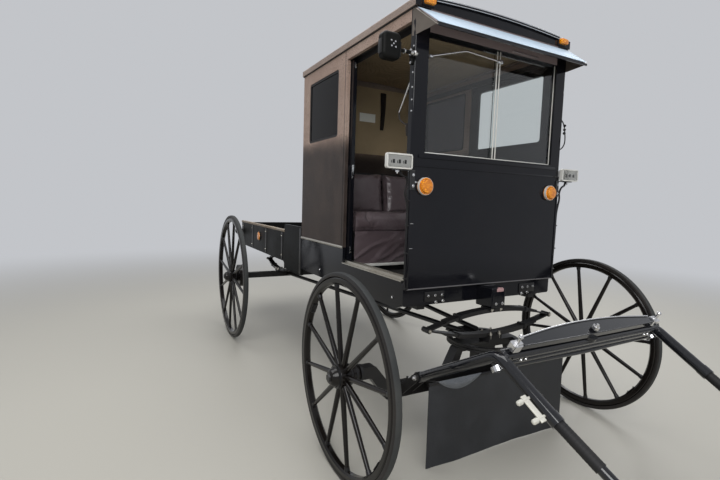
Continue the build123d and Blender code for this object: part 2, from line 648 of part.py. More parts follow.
# Amber lenses: two turn lamps on the dash, two markers on the roof, a reflector on each side
TURN_X = 430
TURN_Z = 1303
TURN_R = 33
MARKER_X = 452
MARKER_WIDE = 58
MARKER_HIGH = 30
REFLECTOR_Y = DASH_Y + 2500
REFLECTOR_Z = 858
REFLECTOR_R = 36
BEZEL_DEEP = 14
with BuildPart() as amber_lenses:
    with BuildSketch(facing(DASH_Y - BEZEL_DEEP)):
        with Locations((TURN_X, TURN_Z)):
            Circle(TURN_R)
    extrude(amount=18)
    fillet(edges().filter_by(GeomType.CIRCLE).group_by(Axis.Y)[0], radius=9)
    with BuildSketch(facing(ROOF_FRONT_Y)):
        with Locations((MARKER_X, EAVE_Z + 24)):
            RectangleRounded(MARKER_WIDE, MARKER_HIGH, 8)
    extrude(amount=24)
    with BuildSketch(beside(SIDE_X)):
        with Locations((REFLECTOR_Y, REFLECTOR_Z)):
            Circle(REFLECTOR_R)
    extrude(amount=9)
    mirror(about=Plane.YZ)
write(amber_lenses, "amber_lenses")

# Turn lamp bezels: the bright rings round the two turn lamps
with BuildPart() as lamp_bezels:
    with BuildSketch(facing(DASH_Y)):
        with Locations((TURN_X, TURN_Z)):
            Circle(TURN_R + 6)
    extrude(amount=BEZEL_DEEP)
    with BuildSketch(facing(DASH_Y - BEZEL_DEEP)):
        with Locations((TURN_X, TURN_Z)):
            Circle(TURN_R + 6)
            Circle(TURN_R, mode=Mode.SUBTRACT)
    extrude(amount=5)
    mirror(about=Plane.YZ)
write(lamp_bezels, "lamp_bezels")

# Headlamps: wide shallow boxes beside the pillars, each on an angle bracket
LAMP_X = 582
LAMP_Z = 1408
LAMP_WIDE = 137
LAMP_HIGH = 68
LAMP_FRONT_Y = DASH_Y - 22
LAMP_RIM = 18
LAMP_DEEP = 38
LENS_INSET = 14
LENS_DEEP = 5
LAMP_LOW_Z = LAMP_Z - LAMP_HIGH / 2
BRACKET_THICK = 5
BRACKET_PLATE_Z = 90
with BuildPart() as headlamps:
    with BuildSketch(facing(LAMP_FRONT_Y + LAMP_DEEP)):
        with Locations((LAMP_X, LAMP_Z)):
            RectangleRounded(LAMP_WIDE - 24, LAMP_HIGH - 20, 8)
    with BuildSketch(facing(LAMP_FRONT_Y + LAMP_RIM)):
        with Locations((LAMP_X, LAMP_Z)):
            RectangleRounded(LAMP_WIDE, LAMP_HIGH, 10)
    loft()
    with BuildSketch(facing(LAMP_FRONT_Y + LAMP_RIM)):
        with Locations((LAMP_X, LAMP_Z)):
            RectangleRounded(LAMP_WIDE, LAMP_HIGH, 10)
    extrude(amount=LAMP_RIM)
    with BuildSketch(facing(LAMP_FRONT_Y)):
        with Locations((LAMP_X, LAMP_Z)):
            RectangleRounded(LAMP_WIDE - LENS_INSET, LAMP_HIGH - LENS_INSET, 6)
    extrude(amount=-LENS_DEEP, mode=Mode.SUBTRACT)
    with BuildSketch(facing(DASH_Y)):
        with Locations(((SIDE_X - 24 + LAMP_X + 20) / 2, LAMP_LOW_Z - BRACKET_THICK / 2)):
            Rectangle(LAMP_X + 20 - SIDE_X + 24, BRACKET_THICK)
        with Locations((SIDE_X - 12, LAMP_LOW_Z - BRACKET_PLATE_Z / 2)):
            Rectangle(24, BRACKET_PLATE_Z)
    extrude(amount=BRACKET_THICK)
    with BuildSketch(Plane.XY.offset(LAMP_LOW_Z - BRACKET_THICK)):
        with Locations((LAMP_X, LAMP_FRONT_Y + LAMP_DEEP / 2)):
            Rectangle(40, LAMP_DEEP - 6)
    extrude(amount=BRACKET_THICK)
    mirror(about=Plane.YZ)
write(headlamps, "headlamps")

# Driver's mirror: a rounded housing on a jointed arm from the right-hand pillar
MIRROR_X = -667
MIRROR_Z = 1880
MIRROR_Y = DASH_Y - 62
MIRROR_WIDE = 92
MIRROR_HIGH = 112
MIRROR_DEEP = 40
MIRROR_RIM = 6
ARM_R = 8
ARM_OUT = 13
PLATE_THICK = 8
ARM_ROOT_Y = DASH_Y + 18
ARM_Y = DASH_Y - 22
ARM_START_X = MIRROR_X + MIRROR_WIDE / 2 - 4
SHELL_CORNER = 24
GLASS_CORNER = SHELL_CORNER - MIRROR_RIM
with BuildPart() as mirror_housing:
    with BuildSketch(facing(MIRROR_Y + MIRROR_DEEP)):
        with Locations((MIRROR_X, MIRROR_Z)):
            RectangleRounded(MIRROR_WIDE, MIRROR_HIGH, SHELL_CORNER)
    extrude(amount=MIRROR_DEEP)
    fillet(faces().sort_by(Axis.Y)[0].edges(), radius=16)
    with BuildSketch(facing(MIRROR_Y + MIRROR_DEEP)):
        with Locations((MIRROR_X, MIRROR_Z)):
            RectangleRounded(MIRROR_WIDE - 2 * MIRROR_RIM, MIRROR_HIGH - 2 * MIRROR_RIM, GLASS_CORNER)
    extrude(amount=MIRROR_RIM, mode=Mode.SUBTRACT)
    with BuildSketch(beside(-SIDE_X - PLATE_THICK)):
        with Locations((ARM_ROOT_Y, MIRROR_Z)):
            RectangleRounded(26, 70, 6)
    extrude(amount=PLATE_THICK)
    with BuildSketch(beside(ARM_START_X)):
        with Locations((ARM_Y, MIRROR_Z)):
            Circle(ARM_R)
    extrude(amount=-SIDE_X - ARM_OUT + ARM_R - ARM_START_X)
    with BuildSketch(facing(ARM_ROOT_Y)):
        with Locations((-SIDE_X - ARM_OUT, MIRROR_Z)):
            Circle(ARM_R)
    extrude(amount=ARM_ROOT_Y - ARM_Y + ARM_R)
write(mirror_housing, "mirror_housing")

# Mirror glass: set into the housing's rim, facing the driver
MIRROR_GLASS_Y = MIRROR_Y + MIRROR_DEEP - 2
with BuildPart() as mirror_glass:
    with BuildSketch(facing(MIRROR_GLASS_Y)):
        with Locations((MIRROR_X, MIRROR_Z)):
            RectangleRounded(MIRROR_WIDE - 2 * MIRROR_RIM, MIRROR_HIGH - 2 * MIRROR_RIM, GLASS_CORNER)
    extrude(amount=MIRROR_RIM - 2)
write(mirror_glass, "mirror_glass")

# Front spring: a full elliptic set across the buggy, over the front axle
LEAF_THICK = 7
LEAF_WIDE = 45
LEAVES = 3
LEAF_STEP = 0.24
HALVES = (1, -1)
FRONT_EYE_Z = 628
FRONT_EYE_X = 415
FRONT_SAG = 56
CLAMP_X = 44
SPRING_FOOT_Z = 527


def leaf_arc(reach, sag, index):
    """Radius and half angle of one leaf's inner arc, counted outward from the main leaf."""
    radius = (reach * reach + sag * sag) / (2 * sag)
    half_angle = degrees(reach * (1 - LEAF_STEP * index) / radius)
    return radius, radius + (index - 0.5) * LEAF_THICK, half_angle


with BuildPart() as front_spring:
    for up in HALVES:
        for index in range(LEAVES):
            radius, inner, half_angle = leaf_arc(FRONT_EYE_X, FRONT_SAG, index)
            centre = (0, FRONT_EYE_Z + up * (FRONT_SAG - radius))
            with BuildSketch(facing(SPRING_Y + LEAF_WIDE / 2)):
                with BuildLine():
                    low = CenterArc(centre, inner, 90 * up - half_angle, 2 * half_angle)
                    high = CenterArc(centre, inner + LEAF_THICK, 90 * up - half_angle, 2 * half_angle)
                    Line(low @ 0, high @ 0)
                    Line(low @ 1, high @ 1)
                make_face()
            extrude(amount=LEAF_WIDE)
    with BuildSketch(facing(SPRING_Y + LEAF_WIDE / 2 + 2)):
        with Locations((-FRONT_EYE_X, FRONT_EYE_Z), (FRONT_EYE_X, FRONT_EYE_Z)):
            Circle(13)
    extrude(amount=LEAF_WIDE + 4)
    upper_z, lower_z = FRONT_EYE_Z + FRONT_SAG + 8, FRONT_EYE_Z - FRONT_SAG - 8
    for low_z, high_z in ((upper_z, BEAM_BOTTOM_Z), (SPRING_FOOT_Z, lower_z)):
        with Locations((0, SPRING_Y, low_z)):
            Box(2 * CLAMP_X, LEAF_WIDE + 24, high_z - low_z, align=UPWARD)
write(front_spring, "front_spring")

# Rear springs: two full elliptic sets along the buggy, between the rear axle and the beams
REAR_EYE_Z = 632
REAR_EYE_Y = 330
REAR_SAG = 52
REAR_AXLE_TOP_Z = REAR_WHEEL_R + 25
with BuildPart() as rear_springs:
    for up in HALVES:
        for index in range(LEAVES):
            radius, inner, half_angle = leaf_arc(REAR_EYE_Y, REAR_SAG, index)
            centre = (REAR_AXLE_Y, REAR_EYE_Z + up * (REAR_SAG - radius))
            with BuildSketch(beside(BEAM_X - LEAF_WIDE / 2)):
                with BuildLine():
                    low = CenterArc(centre, inner, 90 * up - half_angle, 2 * half_angle)
                    high = CenterArc(centre, inner + LEAF_THICK, 90 * up - half_angle, 2 * half_angle)
                    Line(low @ 0, high @ 0)
                    Line(low @ 1, high @ 1)
                make_face()
            extrude(amount=LEAF_WIDE)
    with BuildSketch(beside(BEAM_X - LEAF_WIDE / 2 - 2)):
        with Locations((REAR_AXLE_Y - REAR_EYE_Y, REAR_EYE_Z), (REAR_AXLE_Y + REAR_EYE_Y, REAR_EYE_Z)):
            Circle(12)
    extrude(amount=LEAF_WIDE + 4)
    upper_z, lower_z = REAR_EYE_Z + REAR_SAG + 8, REAR_EYE_Z - REAR_SAG - 8
    for low_z, high_z in ((upper_z, BEAM_BOTTOM_Z), (REAR_AXLE_TOP_Z, lower_z)):
        with Locations((BEAM_X, REAR_AXLE_Y, low_z)):
            Box(LEAF_WIDE + 20, 90, high_z - low_z, align=UPWARD)
    mirror(about=Plane.YZ)
write(rear_springs, "rear_springs")

# Wheels: a turned hub, twelve tapered spokes and a wooden felloe, each with a rubber tyre
HALF_TRACK = TRACK / 2
SPINDLE_R = 20
BORE_R = 20.5
SPOKES = 12
SPOKE_FOOT_R = 38
SPOKE_THICK_R = 13
SPOKE_THIN_R = 9.5
TYRE_DEEP = 20
TYRE_WIDE = 32
FELLOE_DEEP = 34
FELLOE_WIDE = 36
HUB_IN = -72
HUB_OUT = 48
CAP_OUT = 62
DRUM_R = 96
DRUM_IN = -104
DRUM_WALL = 6
DRUM_HOLLOW_R = DRUM_R - 2 * DRUM_WALL
HUB_OUTLINE = (
    # distance outward from the spokes, radius
    (HUB_IN, BORE_R),
    (HUB_IN, 37),
    (-40, 43),
    (-22, 52),
    (22, 52),
    (34, 43),
    (HUB_OUT, 36),
    (CAP_OUT - 6, 33),
    (CAP_OUT, 26),
    (CAP_OUT, 0),
    (HUB_OUT - 2, 0),
    (HUB_OUT - 2, BORE_R),
)
WHEELS = (
    # name, side, axle station, radius, first spoke's angle above the rearward line, drum behind the hub
    ("front_right", -1, FRONT_AXLE_Y, FRONT_WHEEL_R, 19, False),
    ("front_left", 1, FRONT_AXLE_Y, FRONT_WHEEL_R, 22, False),
    ("rear_right", -1, REAR_AXLE_Y, REAR_WHEEL_R, 9, True),
    ("rear_left", 1, REAR_AXLE_Y, REAR_WHEEL_R, 4, True),
)
for name, side, axle_y, wheel_r, first_angle, drum in WHEELS:
    centre = (side * HALF_TRACK, axle_y, wheel_r)
    section = Plane(origin=centre, x_dir=(side, 0, 0), z_dir=(0, -side, 0))
    axis = Axis(centre, (1, 0, 0))
    disc = Plane(origin=centre, x_dir=(0, 1, 0), z_dir=(1, 0, 0))
    felloe_r = wheel_r - TYRE_DEEP - FELLOE_DEEP
    spoke_long = felloe_r + 4 - SPOKE_FOOT_R
    with BuildPart(disc) as wheel:
        with PolarLocations(SPOKE_FOOT_R, SPOKES, start_angle=first_angle):
            Cone(SPOKE_THICK_R, SPOKE_THIN_R, spoke_long, rotation=(0, 90, 0), align=UPWARD)
        with BuildSketch(section):
            with BuildLine():
                Polyline(*HUB_OUTLINE, close=True)
            make_face()
        revolve(axis=axis)
        with BuildSketch(section):
            with Locations((0, felloe_r + FELLOE_DEEP / 2)):
                Rectangle(FELLOE_WIDE, FELLOE_DEEP)
            chamfer(vertices().group_by(Axis.Z)[0], length=8)
        revolve(axis=axis)
        if drum:
            with BuildSketch(section):
                with Locations(((DRUM_IN + HUB_IN + 20) / 2, (BORE_R + DRUM_R) / 2)):
                    Rectangle(HUB_IN + 20 - DRUM_IN, DRUM_R - BORE_R)
                with Locations(((DRUM_IN + HUB_IN - DRUM_WALL) / 2, (BORE_R + DRUM_HOLLOW_R) / 2)):
                    Rectangle(HUB_IN - DRUM_IN - DRUM_WALL, DRUM_HOLLOW_R - BORE_R, mode=Mode.SUBTRACT)
            revolve(axis=axis)
    write(wheel, f"wheel_{name}")
    with BuildPart() as tyre:
        with BuildSketch(section):
            with Locations((0, wheel_r - TYRE_DEEP / 2)):
                Rectangle(TYRE_WIDE, TYRE_DEEP)
        revolve(axis=axis)
    write(tyre, f"tyre_{name}")

# Rear axle: a square beam with round spindles and the brakes' backing plates
AXLE_HALF = 22
SPINDLE_END_X = HALF_TRACK + HUB_OUT - 6
BACKING_X = HALF_TRACK + DRUM_IN - 6
with BuildPart() as rear_axle:
    with BuildSketch(beside(-BACKING_X)):
        with Locations((REAR_AXLE_Y, REAR_WHEEL_R)):
            RectangleRounded(2 * AXLE_HALF, 2 * (REAR_AXLE_TOP_Z - REAR_WHEEL_R), 6)
    extrude(amount=2 * BACKING_X)
    with BuildSketch(beside(-BACKING_X)):
        with Locations((REAR_AXLE_Y, REAR_WHEEL_R)):
            Circle(DRUM_R - 4)
    extrude(amount=8)
    with BuildSketch(beside(BACKING_X)):
        with Locations((REAR_AXLE_Y, REAR_WHEEL_R)):
            Circle(DRUM_R - 4)
    extrude(amount=-8)
    with BuildSketch(beside(-SPINDLE_END_X)):
        with Locations((REAR_AXLE_Y, REAR_WHEEL_R)):
            Circle(SPINDLE_R)
    extrude(amount=2 * SPINDLE_END_X)
write(rear_axle, "rear_axle")

# Upper fifth wheel: the ring, its cross plate and the kingpin, bolted under the front spring
RING_R = 190
RING_WIDE = 26
RING_THICK = 12
RING_GAP = 3
KINGPIN_R = 12
PLATE_WIDE = 110
UPPER_RING_Z = SPRING_FOOT_Z - RING_THICK
REACH_END_Y = FRONT_AXLE_Y + 215
with BuildPart() as fifth_wheel_upper:
    with BuildSketch(Plane.XY.offset(UPPER_RING_Z)):
        with Locations((0, FRONT_AXLE_Y)):
            Circle(RING_R)
            Circle(RING_R - RING_WIDE, mode=Mode.SUBTRACT)
            Rectangle(2 * RING_R - RING_WIDE, PLATE_WIDE)
        with Locations((0, (FRONT_AXLE_Y + REACH_END_Y) / 2)):
            Rectangle(150, REACH_END_Y - FRONT_AXLE_Y)
    extrude(amount=RING_THICK)
    with BuildSketch(Plane.XY.offset(UPPER_RING_Z)):
        with Locations((0, FRONT_AXLE_Y)):
            Circle(KINGPIN_R)
    extrude(amount=-62)
write(fifth_wheel_upper, "fifth_wheel_upper")

# Reach poles: two round bars from the rear axle that meet behind the fifth wheel
REACH_R = 14
REACH_REAR_X = 318
REACH_FRONT_X = 50
with BuildPart() as reach_poles:
    for side in (-1, 1):
        rear_point = Vector(side * REACH_REAR_X, REAR_AXLE_Y, REAR_WHEEL_R)
        front_point = Vector(side * REACH_FRONT_X, REACH_END_Y - 110, SPRING_FOOT_Z + REACH_R - 2)
        along = front_point - rear_point
        with BuildSketch(Plane(origin=rear_point, z_dir=along)):
            Circle(REACH_R)
        extrude(amount=along.length)
    add(rear_axle.part, mode=Mode.SUBTRACT)
    add(fifth_wheel_upper.part, mode=Mode.SUBTRACT)
write(reach_poles, "reach_poles")

# Lower fifth wheel: the ring and its braced timber block, which turn with the front axle
BEAM_TOP_Z = 376
LOWER_RING_TOP_Z = UPPER_RING_Z - RING_GAP
BOLSTER_HALF = 28
BOLSTER_LOW_X = 250
BOLSTER_TOP_X = 196
with BuildPart() as fifth_wheel_lower:
    with BuildSketch(Plane.XY.offset(LOWER_RING_TOP_Z - 10)):
        with Locations((0, FRONT_AXLE_Y)):
            Circle(RING_R)
            Circle(RING_R - RING_WIDE, mode=Mode.SUBTRACT)
            Rectangle(2 * RING_R - RING_WIDE, 2 * BOLSTER_HALF)
    extrude(amount=10)
    with BuildSketch(facing(FRONT_AXLE_Y + BOLSTER_HALF)):
        with BuildLine():
            Polyline(
                (-BOLSTER_LOW_X, BEAM_TOP_Z),
                (BOLSTER_LOW_X, BEAM_TOP_Z),
                (BOLSTER_LOW_X, BEAM_TOP_Z + 24),
                (BOLSTER_TOP_X, LOWER_RING_TOP_Z - 10),
                (-BOLSTER_TOP_X, LOWER_RING_TOP_Z - 10),
                (-BOLSTER_LOW_X, BEAM_TOP_Z + 24),
                close=True,
            )
        make_face()
        for side in (-1, 1):
            with BuildLine():
                Polyline(
                    (side * 62, BEAM_TOP_Z + 26),
                    (side * BOLSTER_TOP_X, BEAM_TOP_Z + 26),
                    (side * 164, LOWER_RING_TOP_Z - 30),
                    (side * 62, LOWER_RING_TOP_Z - 30),
                    close=True,
                )
            make_face(mode=Mode.SUBTRACT)
    extrude(amount=2 * BOLSTER_HALF)
    with BuildSketch(Plane.XY.offset(LOWER_RING_TOP_Z)):
        with Locations((0, FRONT_AXLE_Y)):
            Circle(KINGPIN_R + 0.5)
    extrude(amount=-70, mode=Mode.SUBTRACT)
write(fifth_wheel_lower, "fifth_wheel_lower")

# Front axle: a forged beam that drops between the wheels, with the shaft couplings in front
BEAM_HALF = 25
COUPLING_X = 490
COUPLING_Y = FRONT_AXLE_Y - 120
COUPLING_Z = 440
COUPLING_PIN_R = 8
EYE_R = 24
EYE_WIDE = 44
EAR_THICK = 8
EAR_GAP = 1
DROP_IN_X = 585
DROP_OUT_X = 672
AXLE_END_X = HALF_TRACK + HUB_IN - 8
AXLE_END_HALF = 27
BEAM_LOW_Z = BEAM_TOP_Z - 64
with BuildPart() as front_axle:
    with BuildSketch(facing(FRONT_AXLE_Y + BEAM_HALF)):
        with BuildLine():
            Polyline(
                (0, BEAM_LOW_Z),
                (DROP_IN_X + 22, BEAM_LOW_Z),
                (DROP_OUT_X + 22, FRONT_WHEEL_R - AXLE_END_HALF),
                (AXLE_END_X, FRONT_WHEEL_R - AXLE_END_HALF),
                (AXLE_END_X, FRONT_WHEEL_R + AXLE_END_HALF),
                (DROP_OUT_X, FRONT_WHEEL_R + AXLE_END_HALF),
                (DROP_IN_X, BEAM_TOP_Z),
                (0, BEAM_TOP_Z),
                close=True,
            )
        make_face()
        fillet(vertices().filter_by(lambda v: DROP_IN_X - 1 < v.X < DROP_OUT_X + 23), radius=22)
    extrude(amount=2 * BEAM_HALF)
    with BuildSketch(beside(AXLE_END_X - 12)):
        with Locations((FRONT_AXLE_Y, FRONT_WHEEL_R)):
            Circle(38)
    extrude(amount=12)
    with BuildSketch(beside(AXLE_END_X)):
        with Locations((FRONT_AXLE_Y, FRONT_WHEEL_R)):
            Circle(SPINDLE_R)
    extrude(amount=SPINDLE_END_X - AXLE_END_X)
    for ear_x in (COUPLING_X - EYE_WIDE / 2 - EAR_GAP - EAR_THICK, COUPLING_X + EYE_WIDE / 2 + EAR_GAP):
        with BuildSketch(beside(ear_x)):
            with Locations((COUPLING_Y, COUPLING_Z)):
                Circle(18)
            with BuildLine():
                Polyline(
                    (COUPLING_Y - 12, COUPLING_Z - 13.4),
                    (FRONT_AXLE_Y - BEAM_HALF, BEAM_TOP_Z - 50),
                    (FRONT_AXLE_Y + BEAM_HALF, BEAM_TOP_Z - 50),
                    (FRONT_AXLE_Y + BEAM_HALF, BEAM_TOP_Z + 8),
                    (FRONT_AXLE_Y - BEAM_HALF, BEAM_TOP_Z + 8),
                    (COUPLING_Y + 5, COUPLING_Z + 17.3),
                    close=True,
                )
            make_face()
        extrude(amount=EAR_THICK)
    with BuildSketch(beside(COUPLING_X - EYE_WIDE / 2 - 16)):
        with Locations((COUPLING_Y, COUPLING_Z)):
            Circle(COUPLING_PIN_R)
    extrude(amount=EYE_WIDE + 32)
    mirror(about=Plane.YZ)
write(front_axle, "front_axle")

# Apron hanger: the rod in front of the axle and its two stays
ROD_Y = FRONT_AXLE_Y - 146
ROD_Z = 405
ROD_R = 7
APRON_X = 460
with BuildPart() as apron_hanger:
    with BuildSketch(beside(-APRON_X - 4)):
        with Locations((ROD_Y, ROD_Z)):
            Circle(ROD_R)
    extrude(amount=2 * APRON_X + 8)
    for stay_x in (-400, 400):
        with BuildSketch(beside(stay_x - 3)):
            with BuildLine():
                Polyline(
                    (ROD_Y, ROD_Z - 6),
                    (ROD_Y, ROD_Z + 6),
                    (FRONT_AXLE_Y - BEAM_HALF - 6, BEAM_TOP_Z - 4),
                    (FRONT_AXLE_Y - BEAM_HALF, BEAM_TOP_Z - 4),
                    (FRONT_AXLE_Y - BEAM_HALF, BEAM_TOP_Z - 44),
                    (FRONT_AXLE_Y - BEAM_HALF - 6, BEAM_TOP_Z - 44),
                    (FRONT_AXLE_Y - BEAM_HALF - 6, BEAM_TOP_Z - 18),
                    close=True,
                )
            make_face()
        extrude(amount=6)
write(apron_hanger, "apron_hanger")

# Apron: the rubber cloth sheet that hangs from the rod nearly to the floor
APRON_THICK = 5
APRON_BOTTOM_Z = 6
with BuildPart() as apron:
    with BuildSketch(facing(ROD_Y + APRON_THICK / 2)):
        with Locations((0, (APRON_BOTTOM_Z + ROD_Z - ROD_R) / 2)):
            Rectangle(2 * APRON_X, ROD_Z - ROD_R - APRON_BOTTOM_Z)
    extrude(amount=APRON_THICK)
write(apron, "apron")

# Shafts: bent steel pipes that rise from the couplings, turn over the crossbar and run
# down to the floor, with a collar where the slimmer covered pole begins
HEEL_R = 22
POLE_R = 17
ELBOW_Y = FRONT_AXLE_Y - 570
ELBOW_Z = 690
ELBOW_BEND = 75
SLOPE = 30.5
COLLAR_RUN = 230
COLLAR_LONG = 36
COLLAR_PROUD = 2
POLE_RUNS = (
    # forward run, drop in degrees, half spread at its end
    (COLLAR_RUN, SLOPE, 474),
    (300, 29.0, 440),
    (400, 24.0, 385),
)
TIP_X = 315
BALL_R = 19
shaft_points = [Vector(COUPLING_X, ELBOW_Y, ELBOW_Z)]
for run, drop, spread in POLE_RUNS:
    last = shaft_points[-1]
    shaft_points.append(Vector(spread, last.Y - run, last.Z - run * tan(radians(drop))))
shaft_points.append(Vector(TIP_X, TIP_Y + BALL_R, BALL_R))
ELBOW, COLLAR = shaft_points[:2]
DOWN = (COLLAR - ELBOW).normalized()
with BuildPart() as shaft_left:
    with BuildLine() as heel_line:
        FilletPolyline((COUPLING_X, COUPLING_Y, COUPLING_Z), ELBOW, COLLAR, radius=ELBOW_BEND)
    with BuildSketch(Plane(origin=heel_line.line @ 0, z_dir=heel_line.line % 0)):
        Circle(HEEL_R)
    sweep(path=heel_line.line)
    with BuildLine() as pole_line:
        FilletPolyline(*shaft_points[1:], radius=500)
    with BuildSketch(Plane(origin=pole_line.line @ 0, z_dir=pole_line.line % 0)):
        Circle(POLE_R)
    sweep(path=pole_line.line)
    with BuildSketch(Plane(origin=COLLAR - DOWN * COLLAR_LONG / 2, z_dir=DOWN)):
        Circle(HEEL_R + COLLAR_PROUD)
    extrude(amount=COLLAR_LONG)
    with Locations(shaft_points[-1]):
        Sphere(BALL_R)
    with BuildSketch(beside(COUPLING_X - EYE_WIDE / 2)):
        with Locations((COUPLING_Y, COUPLING_Z)):
            Circle(EYE_R)
    extrude(amount=EYE_WIDE)
    with BuildSketch(beside(COUPLING_X - EYE_WIDE / 2)):
        with Locations((COUPLING_Y, COUPLING_Z)):
            Circle(COUPLING_PIN_R + 0.3)
    extrude(amount=EYE_WIDE, mode=Mode.SUBTRACT)
write(shaft_left, "shaft_left")
with BuildPart() as shaft_right:
    add(mirror(shaft_left.part, about=Plane.YZ, mode=Mode.PRIVATE))
write(shaft_right, "shaft_right")

# Shaft crossbar: the deep bar welded between the elbows, with the singletree's pivot bolt
FORWARD = Vector(0, -cos(radians(SLOPE)), -sin(radians(SLOPE)))
NORMAL = Vector(0, -sin(radians(SLOPE)), cos(radians(SLOPE)))
BAR_CENTRE = Vector(0, ELBOW_Y + 4, ELBOW_Z - 18)
BAR_HALF = 38
BAR_WIDE = 44
SPACER = 11
SPACER_R = 30
TREE_THICK = 22
TREE_LOW = BAR_HALF + SPACER + 1
PIVOT_R = 8


def over_bar(height):
    """The plane square to the pivot bolt, at a height over the crossbar's middle."""
    return Plane(origin=BAR_CENTRE + NORMAL * height, x_dir=(1, 0, 0), z_dir=NORMAL)


with BuildPart() as shaft_crossbar:
    bar_end = BAR_CENTRE - Vector(COUPLING_X, 0, 0)
    with BuildSketch(Plane(origin=bar_end, x_dir=FORWARD, z_dir=(1, 0, 0))):
        RectangleRounded(BAR_WIDE, 2 * BAR_HALF, 12)
    extrude(amount=2 * COUPLING_X)
    add(shaft_left.part, mode=Mode.SUBTRACT)
    add(shaft_right.part, mode=Mode.SUBTRACT)
    with BuildSketch(over_bar(BAR_HALF - 2)):
        Circle(SPACER_R)
    extrude(amount=SPACER + 2)
    with BuildSketch(over_bar(BAR_HALF)):
        Circle(PIVOT_R)
    extrude(amount=SPACER + TREE_THICK + 4)
    with BuildSketch(over_bar(TREE_LOW + TREE_THICK + 1)):
        RegularPolygon(15, 6)
    extrude(amount=10)
write(shaft_crossbar, "shaft_crossbar")

# Singletree: the bowed bar that swings on the crossbar's bolt
TREE_X = 455
TREE_END_HALF = 12
TREE_MID_FRONT = 15
TREE_MID_REAR = 52
with BuildPart() as singletree:
    with BuildSketch(over_bar(TREE_LOW)):
        with BuildLine():
            ThreePointArc((-TREE_X, -TREE_END_HALF), (0, -TREE_MID_FRONT), (TREE_X, -TREE_END_HALF))
            Line((TREE_X, -TREE_END_HALF), (TREE_X, TREE_END_HALF))
            ThreePointArc((TREE_X, TREE_END_HALF), (0, TREE_MID_REAR), (-TREE_X, TREE_END_HALF))
            Line((-TREE_X, TREE_END_HALF), (-TREE_X, -TREE_END_HALF))
        make_face()
        Circle(PIVOT_R + 0.4, mode=Mode.SUBTRACT)
    extrude(amount=TREE_THICK)
write(singletree, "singletree")

# Singletree ferrules: bright caps on its two ends, each with a stud for a trace
STUD_X = 440
STUD_R = 6
STUD_LONG = 34
FERRULE_WALL = 3
with BuildPart() as tree_ferrules:
    for side in (-1, 1):
        with BuildSketch(over_bar(TREE_LOW - FERRULE_WALL)):
            with Locations((side * (TREE_X - 15), 0)):
                RectangleRounded(42, 34, 7)
        extrude(amount=TREE_THICK + 2 * FERRULE_WALL)
    add(singletree.part, mode=Mode.SUBTRACT)
    with BuildSketch(over_bar(TREE_LOW + TREE_THICK + FERRULE_WALL)):
        with Locations((-STUD_X, 0), (STUD_X, 0)):
            Circle(STUD_R)
    extrude(amount=STUD_LONG)
write(tree_ferrules, "tree_ferrules")

# Holdback bars: a flat plated bar beside each shaft above its collar, with two round knobs
HOLDBACK_START = 160
HOLDBACK_LONG = 98
HOLDBACK_WIDE = 22
HOLDBACK_THICK = 7
HOLDBACK_SET = 38
POST_LONG = 56
KNOB_R = 9
KNOB_LONG = 14
POST_R = 5
POST_INSET = 14
HOLDBACK_OUT = Vector(1, 0, -0.2).normalized()
with BuildPart() as holdback_bars:
    holdback_foot = ELBOW + DOWN * HOLDBACK_START + HOLDBACK_OUT * HOLDBACK_SET
    with BuildSketch(Plane(origin=holdback_foot, x_dir=HOLDBACK_OUT, z_dir=DOWN)):
        RectangleRounded(HOLDBACK_WIDE, HOLDBACK_THICK, 3)
    extrude(amount=HOLDBACK_LONG)
    for reach in (HOLDBACK_START + POST_INSET, HOLDBACK_START + HOLDBACK_LONG - POST_INSET):
        with BuildSketch(Plane(origin=ELBOW + DOWN * reach, z_dir=HOLDBACK_OUT)):
            Circle(POST_R)
        extrude(amount=POST_LONG)
        with BuildSketch(Plane(origin=ELBOW + DOWN * reach + HOLDBACK_OUT * POST_LONG, z_dir=HOLDBACK_OUT)):
            Circle(KNOB_R)
        extrude(amount=KNOB_LONG)
    add(shaft_left.part, mode=Mode.SUBTRACT)
    mirror(about=Plane.YZ)
write(holdback_bars, "holdback_bars")
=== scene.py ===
import bmesh
import bpy
from math import cos, pi, radians, sin
from mathutils import Matrix, Vector, noise


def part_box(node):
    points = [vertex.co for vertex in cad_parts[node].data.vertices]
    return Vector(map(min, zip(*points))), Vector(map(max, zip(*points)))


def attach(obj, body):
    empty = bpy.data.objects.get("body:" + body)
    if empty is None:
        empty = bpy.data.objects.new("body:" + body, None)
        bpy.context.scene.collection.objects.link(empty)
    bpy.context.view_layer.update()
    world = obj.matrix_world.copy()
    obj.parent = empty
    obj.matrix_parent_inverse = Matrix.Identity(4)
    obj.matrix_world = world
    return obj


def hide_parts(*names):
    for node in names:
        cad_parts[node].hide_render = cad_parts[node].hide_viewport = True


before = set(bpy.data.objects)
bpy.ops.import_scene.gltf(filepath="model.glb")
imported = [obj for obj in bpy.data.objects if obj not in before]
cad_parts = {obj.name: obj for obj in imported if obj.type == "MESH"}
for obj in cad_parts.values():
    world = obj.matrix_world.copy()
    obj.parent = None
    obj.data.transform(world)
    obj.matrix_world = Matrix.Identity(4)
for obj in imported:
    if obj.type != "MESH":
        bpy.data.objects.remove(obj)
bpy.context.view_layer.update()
scene = bpy.context.scene
scene.view_settings.view_transform = "Standard"
SIDES = (("right", -1), ("left", 1))
BOTH, BACK, UP, DOWN = (-1, 1), (0, -1, 0), (0, 0, 1), (0, 0, -1)

